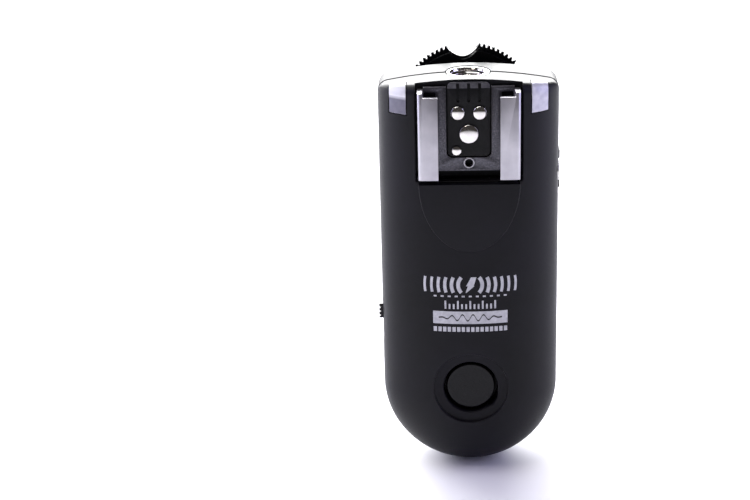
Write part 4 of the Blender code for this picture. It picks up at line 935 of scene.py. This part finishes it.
def jack_ring(finish):
    """Collar of the remote jack: a ring with a rounded rim and a countersunk mouth."""
    low, high = span("remote_jack_ring")
    outer = (high[1] - low[1]) / 2.0
    profile = softened([(outer, low[0]), (outer, high[0]), (1.9, high[0]), (1.4, high[0] - 0.5),
                        (1.4, low[0])], 0.18)
    return spun("remote_jack_ring", profile, middle("remote_jack_ring") * (0, 1, 1), "x", 72, finish, True)


def sync_socket(metal, plastic):
    """Coaxial socket: rimmed shell with a dished mouth, an insulator and a split centre tube."""
    low, high = span("sync_socket_shell")
    centre = middle("sync_socket_shell") * (0, 1, 0)
    top, bottom, radius = high[2], low[2], high[0]
    ridges = [(3.62 if index % 2 else 3.78, level)
              for index, level in enumerate(np.linspace(top - 1.0, bottom + 3.2, 13))]
    mouth = softened([(radius - 0.4, bottom), (radius - 0.4, bottom + 3.0), (radius, bottom + 3.0),
                      (radius, top), (radius - 0.45, top), (3.75, top - 0.55)], 0.1, 3)
    profile = np.concatenate([mouth, ridges, [(3.62, bottom)]])
    spun("sync_socket_shell", profile, centre, "z", 120, metal, closed=True)
    in_low, in_high = span("sync_socket_insulator")
    profile = softened([(in_high[0], in_low[2]), (in_high[0], in_high[2]), (2.6, in_high[2] - 0.3),
                        (1.6, in_high[2] - 0.3), (1.6, in_low[2])], 0.15)
    spun("sync_socket_insulator", profile, centre, "z", 96, plastic, closed=True)
    foot, tip = span("sync_socket_pin")[0][2], span("sync_socket_pin")[1][2]
    profile = [(0.0, foot), (1.3, foot), (1.3, tip - 0.2), (1.15, tip), (0.65, tip), (0.5, tip - 0.2),
               (0.5, tip - 3.0), (0.0, tip - 3.0)]
    spun("sync_socket_pin", profile, centre, "z", 64, metal)


# ---------------------------------------------------------------- pieces: foot

WHEEL_LOW, WHEEL_HIGH = span("locking_wheel")
WHEEL_RADIUS = WHEEL_HIGH[0]
WHEEL_LOBES = 6
WHEEL_TEETH = 9
TOOTH_PITCH = math.radians(4.05)
TOOTH_DEPTH = 0.62
SCALLOP_DEPTH = 3.0
WHEEL_LEAN = math.radians(3.6)


def wheel_radius(angle):
    """Radius of the wheel: lobes of clipped cosine teeth, with a sine-shaped scallop between them."""
    lobe = TOOTH_PITCH * (WHEEL_TEETH - 1) + TOOTH_PITCH * 0.3
    step = TURN / WHEEL_LOBES
    from_middle = (angle - TURN / 4.0 - WHEEL_LEAN) % step - step / 2.0
    phase = from_middle / TOOTH_PITCH
    tooth = np.clip(0.5 + 0.8 * np.cos(TURN * phase), 0.0, 1.0)
    in_lobe = np.abs(from_middle) <= lobe / 2.0
    share = np.clip((np.abs(from_middle) - lobe / 2.0) / (step - lobe), 0.0, 0.5)
    scallop = SCALLOP_DEPTH * np.sin(TURN / 2.0 * share) ** 0.62
    return np.where(in_lobe, WHEEL_RADIUS - TOOTH_DEPTH * (1.0 - tooth), WHEEL_RADIUS - scallop)


def locking_wheel(finish):
    """Toothed wheel: rows from the bore over a chamfered front, the teeth, and the back again.

    A row's radius is a share of the way from the bore out to the toothed edge, less a chamfer.
    """
    angle = np.linspace(0.0, TURN, 2160, endpoint=False)
    edge = wheel_radius(angle)
    disc = np.minimum(edge - 0.5, WHEEL_RADIUS - 1.55)
    low, high = WHEEL_LOW[1], WHEEL_HIGH[1]
    bore = np.full_like(angle, 6.3)
    rows = [(bore, low + 0.2), (bore + 0.2, low), (np.full_like(angle, 9.4), low), (disc - 0.3, low),
            (disc - 0.1, low + 0.06), (disc, low + 0.22), (disc, low + 0.5), (edge - 0.22, low + 0.52),
            (edge - 0.06, low + 0.58), (edge, low + 0.75), (edge, high - 0.25), (edge - 0.06, high - 0.08),
            (edge - 0.22, high), (bore + 0.2, high), (bore, high - 0.2)]
    grid = np.array([place(FOOT_X + r * np.cos(angle), level, FOOT_Z + r * np.sin(angle))
                     for r, level in rows])
    return stand_for(surface("locking_wheel_skin", grid, wrap_rows=True), finish, "locking_wheel")


def clamp_washer(finish, pin_finish):
    """Washer keyed to the stem, and the lock pin that it carries."""
    low, high = span("clamp_washer")
    outer = high[0]
    centre = (0.0, 0.0, FOOT_Z)
    washer = turned("clamp_washer_skin", softened([(outer, low[1]), (outer, high[1]), (6.3, high[1]),
                                                   (6.3, low[1])], 0.2), centre, "y", 96, closed=True)
    pin_low, pin_high = span("lock_pin")
    z = middle("lock_pin")[2]
    carve(washer, "UNION", block("key", (-0.75, low[1] + 0.06, z - 1.4), (0.75, high[1] - 0.06, z + 0.5)))
    stand_for(washer, finish, "clamp_washer")
    profile = [(0.0, pin_low[1]), (0.75, pin_low[1]), (0.75, pin_high[1] - 0.35), (0.62, pin_high[1] - 0.1),
               (0.4, pin_high[1]), (0.0, pin_high[1])]
    spun("lock_pin", profile, (0.0, 0.0, z), "y", 40, pin_finish)


def foot_stem(finish):
    """Threaded stem: radius falls by a triangle wave of height less a share of a turn, a true helix."""
    low, high = span("foot_stem")
    pitch, depth = 1.5, 0.4
    start_y, end_y = BACK + 1.3, high[1]
    level = np.linspace(start_y, end_y, 90)[:, None]
    angle = np.linspace(0.0, TURN, 144, endpoint=False)[None, :]
    wave = np.abs(((level / pitch - angle / TURN) % 1.0) - 0.5) * 2.0
    fade = np.clip(np.minimum(level - start_y, end_y - level) / 0.4, 0.0, 1.0)
    radius = 6.0 - depth * wave * fade
    body = place(radius * np.cos(angle), level + 0.0 * angle, FOOT_Z + radius * np.sin(angle))

    inside = low[1] + 1.5
    steps = ((5.0, low[1]), (5.0, inside), (3.0, inside), (3.0, start_y))
    rows = [place(size * np.cos(angle[0]), depth_at, FOOT_Z + size * np.sin(angle[0]))
            for size, depth_at in steps]
    stem = surface("foot_stem_skin", np.concatenate([np.array(rows), body]), caps=True)
    pin_z = middle("lock_pin")[2]
    groove = drill("lock_groove", (0.0, 0.0, pin_z), 1.15, WHEEL_HIGH[1], high[1] + 4.0)
    room = drill("pin_room", (0.0, 0.0, FOOT_Z), 1.2, WHEEL_LOW[1] + 0.7, high[1] + 4.0)
    wells = []
    for name in ("left", "right", "dot"):
        x, _, z = middle(f"foot_pin_{name}")
        wells.append(drill(f"well_{name}", (x, 0.0, z), 1.2, high[1] - 1.2, high[1] + 4.0))
    cut(stem, joined("stem_rooms", [groove, room, *wells]))
    return stand_for(stem, finish, "foot_stem")


def foot_plate(plate_finish, insert_finish, pin_finish):
    """Foot: ground plate round a plastic insert, with sprung pins through it."""
    low, high = span("foot_plate")
    width, length = high[0] - low[0], high[2] - low[2]
    in_low, in_high = span("foot_insert")
    in_width, in_length = in_high[0] - in_low[0], in_high[2] - in_low[2]
    outer = rounded_rectangle(width, length, 0.9)
    inner = rounded_rectangle(in_width + 0.6, in_length + 0.6, 1.0)
    bend = 0.22
    turn = np.linspace(0.0, TURN / 4.0, 4)
    rows = []
    for outline, sign in ((outer, 1.0), (inner, -1.0)):
        layers = [(bend * (1.0 - math.sin(a)), low[1] + bend * (1.0 - math.cos(a))) for a in turn]
        layers += [(ins, low[1] + high[1] - level) for ins, level in layers[::-1]]
        for ins, level in layers[::int(sign)]:
            x, z = inset(outline, sign * ins).T
            rows.append(place(x, level, z + FOOT_Z))
    plate = surface("foot_plate_skin", np.array(rows), wrap_rows=True)
    stand_for(plate, plate_finish, "foot_plate")
    insert = slab("foot_insert_skin", rounded_rectangle(in_width, in_length, 0.8) + (0.0, FOOT_Z),
                  in_low[1], in_high[1], edge=0.15)
    holes = [drill(f"foot_hole_{name}", middle(f"foot_pin_{name}") * (1, 0, 1), 1.1, 20.0, 50.0)
             for name in CONTACTS]
    holes.append(drill("lock_way", (0.0, 0.0, middle("lock_pin")[2]), 1.05, 20.0, 50.0))
    cut(insert, joined("insert_holes", holes))
    stand_for(insert, insert_finish, "foot_insert")
    for name in CONTACTS:
        pin_low, pin_high = span(f"foot_pin_{name}")
        x, _, z = middle(f"foot_pin_{name}")
        dome = [(0.9 * math.cos(a), pin_high[1] - 0.5 + 0.5 * math.sin(a))
                for a in np.linspace(0.0, TURN / 4.0, 8)]
        spun(f"foot_pin_{name}", [(0.0, pin_low[1]), (0.9, pin_low[1])] + dome, (x, 0.0, z), "y", 40,
             pin_finish)


def cells(finish, metal):
    """Dry cells: a sleeve with rolled ends and a nub at one end."""
    for name, nub_up in (("left", True), ("right", False)):
        low, high = span(f"battery_{name}")
        centre = middle(f"battery_{name}") * (1, 1, 0)
        radius, length = (high[0] - low[0]) / 2.0, high[2] - low[2]
        profile = softened([(0.0, 0.0), (radius - 0.6, 0.0), (radius, 0.35), (radius, length - 1.15),
                            (radius - 0.6, length - 0.8), (2.1, length - 0.8), (1.9, length), (0.0, length)],
                           0.25, 4, closed=False)
        levels = low[2] + profile[:, 1] if nub_up else high[2] - profile[:, 1]
        rows = np.stack([profile[:, 0], levels], axis=-1)
        cell = turned(f"battery_{name}_skin", rows, centre, "z", 72)
        wear(cell, finish)
        paint(cell, metal, lambda at, normal: np.hypot(*(at - centre).T[:2]) < radius - 0.9)
        stand_for(cell, None, f"battery_{name}")


# ---------------------------------------------------------------- printed marks

INK_LIFT = 0.035
INK_SINK = 0.008


def printed(name, u, v):
    """Thin closed skin over the crown: u and v are grids of x and z; it stands INK_LIFT proud."""
    rows, columns = u.shape
    top = place(u, crown(u, v) - INK_LIFT, v)
    bottom = place(u, crown(u, v) - INK_SINK, v)
    above = grid_faces(rows, columns, False, False)
    below = above[:, ::-1] + rows * columns
    index = np.arange(rows * columns).reshape(rows, columns)
    loop = np.concatenate([index[0, :-1], index[:-1, -1], index[-1, :0:-1], index[:0:-1, 0]])
    ahead = np.roll(loop, -1)
    sides = np.stack([loop, loop + rows * columns, ahead + rows * columns, ahead], axis=-1)
    faces = np.concatenate([above, below, sides]).tolist()
    return mesh_object(name, np.concatenate([top.reshape(-1, 3), bottom.reshape(-1, 3)]), faces)


def bar(name, x0, x1, z0, z1):
    """Printed rectangle."""
    columns = max(int((x1 - x0) / 0.5), 2) + 1
    u, v = np.meshgrid(np.linspace(x0, x1, columns), np.linspace(z0, z1, 3))
    return printed(name, u, v)


def arc_band(name, centre, radius, width, start_angle, end_angle):
    """Printed band along a circle: radius and angle are its two parameters."""
    turn = np.radians(np.linspace(start_angle, end_angle, 25))[None, :]
    size = radius + width * np.array([[-0.5], [0.5]])
    return printed(name, centre[0] + size * np.cos(turn), centre[1] + size * np.sin(turn))


def slanted(name, low, high):
    """Printed strip between a low line and a high line, each two (x, z) points."""
    share = np.linspace(0.0, 1.0, 3)[:, None, None]
    along = np.linspace(0.0, 1.0, 4)[None, :, None]
    first, last = ((1.0 - along) * line[0] + along * line[1] for line in (np.array(low), np.array(high)))
    grid = (1.0 - share) * first + share * last
    return printed(name, grid[..., 0], grid[..., 1])


MARK_Z = BUTTON_Z + 24.7
BADGE = (-8.1, 8.1, MARK_Z - 9.05, MARK_Z - 6.15)
# Rows of bars: name, count, first middle, pitch, half a bar, foot and top below the spark's middle
PRINTED_ROWS = (("dash", 11, -7.6, 1.52, 0.32, -2.8, -2.45),
                ("scale", 13, -5.4, 0.9, 0.19, -5.55, -4.4),
                ("foot_dash", 16, -7.65, 1.02, 0.36, -10.9, -9.8))
SCALE_STEP = 0.75               # how much taller every third bar of the scale is


def printed_marks(ink, through):
    """A spark between radio arcs, a scale of ticks, a plain badge with a wave, and a dotted line."""
    marks = [slanted("spark_top", [(-0.9, MARK_Z - 0.25), (0.75, MARK_Z - 0.25)],
                     [(0.2, MARK_Z + 1.8), (1.35, MARK_Z + 1.8)]),
             slanted("spark_low", [(-1.0, MARK_Z - 1.8), (-0.85, MARK_Z - 1.8)],
                     [(-0.5, MARK_Z - 0.2), (0.95, MARK_Z - 0.2)])]
    for side, base in ((1.0, 0.0), (-1.0, 180.0)):
        for index in range(6):
            radius = 2.6 + 1.45 * index
            spread = math.degrees(math.asin(min(1.75 / radius, 1.0)))
            width = 0.82 - 0.06 * index
            marks.append(arc_band(f"radio_arc_{side:+.0f}_{index}", (0.0, MARK_Z), radius, width,
                                  base - spread, base + spread))
    for name, count, first, pitch, half, foot, top in PRINTED_ROWS:
        for index in range(count):
            x = first + pitch * index
            rise = SCALE_STEP if name == "scale" and index % 3 == 0 else 0.0
            marks.append(bar(f"{name}_{index}", x - half, x + half, MARK_Z + foot, MARK_Z + top + rise))
    low, high = BADGE[2], BADGE[3]
    marks.append(bar("badge", *BADGE))
    marks = joined("printed_marks", marks)
    tidy(marks)
    added(marks, ink, "front_shell")
    u = np.linspace(-6.9, 6.9, 120)[None, :]
    wave = (low + high) / 2.0 + 0.72 * np.sin(u * TURN / 2.3) * np.exp(-(u / 5.2) ** 4)
    lines = wave + np.array([[-0.17], [0.17]])
    grid_u = np.broadcast_to(u, lines.shape)
    top = place(grid_u, crown(grid_u, lines) - INK_LIFT - 0.02, lines)
    bottom = place(grid_u, crown(grid_u, lines) - INK_LIFT - 0.005, lines)
    rows = np.stack([top[0], top[1], bottom[1], bottom[0]], axis=1)
    added(surface("badge_trace", rows, caps=True), through, "front_shell")


# ---------------------------------------------------------------- inner parts

INNER_FINISHES = {
    "nylon": ("button_switch", "power_switch_body", "remote_jack_body", "controller_chip",
              "channel_switch_body"),
    "tin": ("radio_module", "crystal", "case_screw_1", "case_screw_2", "case_screw_3", "case_screw_4",
            "battery_contact_left", "battery_contact_right", "battery_spring_left",
            "battery_spring_right", "foot_pin_spring"),
    "board": ("main_board", "channel_board"),
    "copper": ("antenna_wire",),
    "lens": ("lamp_left", "lamp_right"),
    "rubber": ("storage_capacitor",),
    "white": ("channel_slider_1", "channel_slider_2", "channel_slider_3", "channel_slider_4"),
}


# ---------------------------------------------------------------- stage

CAMERA_PLACE = (-0.004645, -0.376499, 0.0997)
CAMERA_YAW, CAMERA_PITCH, CAMERA_ROLL = -0.046, 0.345, -0.027
CAMERA_LENS = 81.16


def camera():
    """Camera turned by yaw about the vertical, pitched down, then rolled about its own line of sight."""
    made = bpy.data.objects.new("camera", bpy.data.cameras.new("camera"))
    bpy.context.scene.collection.objects.link(made)
    made.data.lens = CAMERA_LENS
    made.data.sensor_width = 36.0
    made.data.clip_start, made.data.clip_end = 0.01, 20.0
    yaw, pitch = CAMERA_YAW, CAMERA_PITCH
    right = np.array([math.cos(yaw), -math.sin(yaw), 0.0])
    ahead = np.array([math.sin(yaw) * math.cos(pitch), math.cos(yaw) * math.cos(pitch), -math.sin(pitch)])
    up = np.cross(right, ahead)
    across = right * math.cos(CAMERA_ROLL) + up * math.sin(CAMERA_ROLL)
    upright = up * math.cos(CAMERA_ROLL) - right * math.sin(CAMERA_ROLL)
    turn = Matrix(np.stack([across, upright, -ahead], axis=1).tolist()).to_4x4()
    made.matrix_world = Matrix.Translation(CAMERA_PLACE) @ turn
    bpy.context.scene.camera = made


def soft_light(name, where, towards, size, power, tint):
    """Rectangular area light that faces a point."""
    data = bpy.data.lights.new(name, "AREA")
    data.shape = "RECTANGLE"
    data.size, data.size_y = size
    data.energy = power
    data.color = linear(tint)[:3]
    lamp = bpy.data.objects.new(name, data)
    bpy.context.scene.collection.objects.link(lamp)
    ahead = Matrix.Translation(where).to_translation() - Matrix.Translation(towards).to_translation()
    lamp.rotation_mode = "QUATERNION"
    lamp.rotation_quaternion = ahead.to_track_quat("Z", "Y")
    lamp.location = where


def floor(tint):
    """Wide pale floor, faintly uneven, that the tail's tip stands on."""
    size = 6.0
    level = ORIGIN[2] - 0.0001
    line = np.linspace(-size, size, 3)
    u, v = np.meshgrid(line, line)
    sheet = surface("floor", np.stack([u, v, np.full_like(u, level)], axis=-1), wrap_columns=False)
    made, tree, shader, where = start("pale_paper", specular_ior_level=0.2)
    slow = noise(tree, where, 60.0)
    tree.links.new(ramp(tree, slow, tint, "#fbfbfd"), shader.inputs["Base Color"])
    tree.links.new(span_value(tree, slow, 0.6, 0.75), shader.inputs["Roughness"])
    wear(sheet, made)
    if sheet.data.polygons[0].normal.z < 0.0:
        sheet.data.flip_normals()


# ---------------------------------------------------------------- settings

def shade(name, about, code):
    """Setting for a colour, as an sRGB hex code."""
    return bpy.props.StringProperty(name=name, description=about, default=code)


def power(name, about, watts):
    """Setting for a light's power."""
    return bpy.props.FloatProperty(name=name, description=f"Power of {about} in watts", default=watts,
                                   min=0.0)


class FinishSettings(bpy.types.PropertyGroup):
    """Colours of the finishes that show most, as sRGB hex codes."""

    casing_low: shade("Casing, dark", "Darker shade of the ABS casing", "#08080c")
    casing_high: shade("Casing, light", "Lighter shade of the ABS casing", "#0d0c14")
    nickel_low: shade("Nickel, dark", "Darker shade of the satin nickel", "#a3a1a8")
    nickel_high: shade("Nickel, light", "Lighter shade of the satin nickel", "#bab8be")
    ink_low: shade("Ink, dark", "Darker shade of the printed marks", "#a3a3ac")
    ink_high: shade("Ink, light", "Lighter shade of the printed marks", "#bcbcc4")


class StageSettings(bpy.types.PropertyGroup):
    """Light and floor."""

    key_power: power("Key light", "the overhead light", 7.0)
    back_power: power("Back light", "the light behind", 95.0)
    side_power: power("Side lights", "each side light", 6.0)
    front_power: power("Front light", "the small front light", 0.5)
    floor_tint: shade("Floor", "Colour of the floor", "#f1f1f4")


MADE = {}


def finish(name):
    """A finish by name; the whole set is made when the first is asked for."""
    if not MADE:
        MADE.update(finishes(bpy.context.scene.trigger_finishes))
    return MADE[name]


# ---------------------------------------------------------------- operators

class TriggerOperator:
    """Shared settings of the operators."""

    bl_options = {"REGISTER", "UNDO"}


class TRIGGER_OT_casing(TriggerOperator, bpy.types.Operator):
    """Add the front shell, the back shell and the battery door"""

    bl_idname = "trigger.casing"
    bl_label = "Casing"

    def execute(self, context):
        front_shell(finish("casing"))
        back_shell(finish("casing"))
        battery_door(finish("casing"))
        return {"FINISHED"}


class TRIGGER_OT_hot_shoe(TriggerOperator, bpy.types.Operator):
    """Add the shoe's rails and base, its contact block and its contacts"""

    bl_idname = "trigger.hot_shoe"
    bl_label = "Hot shoe"

    def execute(self, context):
        shoe_plate(finish("rail"), finish("base"))
        contact_block(finish("nylon"), finish("pale_top"))
        shoe_contacts(finish("bright"))
        return {"FINISHED"}


class TRIGGER_OT_windows(TriggerOperator, bpy.types.Operator):
    """Add the two light windows"""

    bl_idname = "trigger.windows"
    bl_label = "Light windows"

    def execute(self, context):
        light_windows(finish("clear"), finish("rim"))
        return {"FINISHED"}


class TRIGGER_OT_button(TriggerOperator, bpy.types.Operator):
    """Add the shutter button and its return pad"""

    bl_idname = "trigger.button"
    bl_label = "Shutter button"

    def execute(self, context):
        shutter_button(finish("gloss"), finish("rubber"))
        return {"FINISHED"}


class TRIGGER_OT_sides(TriggerOperator, bpy.types.Operator):
    """Add the slide switch's knob, the remote jack's collar and the sync socket"""

    bl_idname = "trigger.sides"
    bl_label = "Switch, jack and socket"

    def execute(self, context):
        switch_knob(finish("gloss"))
        jack_ring(finish("tin"))
        sync_socket(finish("bright"), finish("nylon"))
        return {"FINISHED"}


class TRIGGER_OT_foot(TriggerOperator, bpy.types.Operator):
    """Add the locking wheel, washer, stem, plate, insert and pins"""

    bl_idname = "trigger.foot"
    bl_label = "Locking foot"

    def execute(self, context):
        locking_wheel(finish("gloss"))
        clamp_washer(finish("tin"), finish("bright"))
        foot_stem(finish("tin"))
        foot_plate(finish("ground"), finish("nylon"), finish("bright"))
        return {"FINISHED"}


class TRIGGER_OT_cells(TriggerOperator, bpy.types.Operator):
    """Add the two dry cells"""

    bl_idname = "trigger.cells"
    bl_label = "Dry cells"

    def execute(self, context):
        cells(finish("cell"), finish("tin"))
        return {"FINISHED"}


class TRIGGER_OT_marks(TriggerOperator, bpy.types.Operator):
    """Print the plain marks on the front"""

    bl_idname = "trigger.marks"
    bl_label = "Printed marks"

    def execute(self, context):
        printed_marks(finish("ink"), finish("ink_dark"))
        return {"FINISHED"}


class TRIGGER_OT_inner_parts(TriggerOperator, bpy.types.Operator):
    """Give the inner parts their finishes"""

    bl_idname = "trigger.inner_parts"
    bl_label = "Inner parts"

    def execute(self, context):
        for name, nodes in INNER_FINISHES.items():
            for part in nodes:
                wear(frame["nodes"][part], finish(name))
        return {"FINISHED"}


class TRIGGER_OT_stage(TriggerOperator, bpy.types.Operator):
    """Add the floor, the lights and the camera"""

    bl_idname = "trigger.stage"
    bl_label = "Stage"

    def execute(self, context):
        stage = context.scene.trigger_stage
        camera()
        floor(stage.floor_tint)
        middle_point = (0.0, 0.0, -0.02)
        soft_light("key_light", (-0.25, 0.12, 1.0), middle_point, (0.9, 0.9), stage.key_power, "#ffffff")
        soft_light("front_light", (-0.28, -0.30, 0.6), middle_point, (0.10, 0.16), stage.front_power,
                   "#fff4ea")
        soft_light("back_light", (-0.3, 1.3, 0.55), (0.0, 0.0, 0.05), (2.4, 0.8), stage.back_power, "#ffffff")
        for side, tint in ((-1.0, "#dcdaff"), (1.0, "#d0ceff")):
            soft_light(f"side_light_{side:+.0f}", (side * 0.8, 0.0, 0.15), middle_point, (0.5, 0.9),
                       stage.side_power, tint)
        world = bpy.data.worlds.new("studio")
        world.use_nodes = True
        sky = world.node_tree.nodes["Background"]
        sky.inputs["Color"].default_value = linear("#d6cdca")
        sky.inputs["Strength"].default_value = 0.10
        context.scene.world = world
        context.scene.view_settings.view_transform = "Standard"
        return {"FINISHED"}


class TRIGGER_PT_panel(bpy.types.Panel):
    """Lists the operators and their settings"""

    bl_label = "Flash trigger"
    bl_idname = "TRIGGER_PT_panel"
    bl_space_type = "VIEW_3D"
    bl_region_type = "UI"
    bl_category = "Flash trigger"

    def draw(self, context):
        for settings in (context.scene.trigger_finishes, context.scene.trigger_stage):
            for name in settings.__annotations__:
                self.layout.prop(settings, name)
        for operator in OPERATORS:
            self.layout.operator(operator.bl_idname)


OPERATORS = (TRIGGER_OT_stage, TRIGGER_OT_casing, TRIGGER_OT_hot_shoe, TRIGGER_OT_windows,
             TRIGGER_OT_button, TRIGGER_OT_sides, TRIGGER_OT_foot, TRIGGER_OT_cells, TRIGGER_OT_marks,
             TRIGGER_OT_inner_parts)
SETTINGS = (FinishSettings, StageSettings)


def register():
    for item in (*SETTINGS, *OPERATORS, TRIGGER_PT_panel):
        bpy.utils.register_class(item)
    bpy.types.Scene.trigger_finishes = bpy.props.PointerProperty(type=FinishSettings)
    bpy.types.Scene.trigger_stage = bpy.props.PointerProperty(type=StageSettings)


def unregister():
    del bpy.types.Scene.trigger_finishes
    del bpy.types.Scene.trigger_stage
    for item in reversed((*SETTINGS, *OPERATORS, TRIGGER_PT_panel)):
        bpy.utils.unregister_class(item)


def main():
    register()
    for operator in OPERATORS:
        group, name = operator.bl_idname.split(".")
        getattr(getattr(bpy.ops, group), name)()


if __name__ == "__main__":
    main()
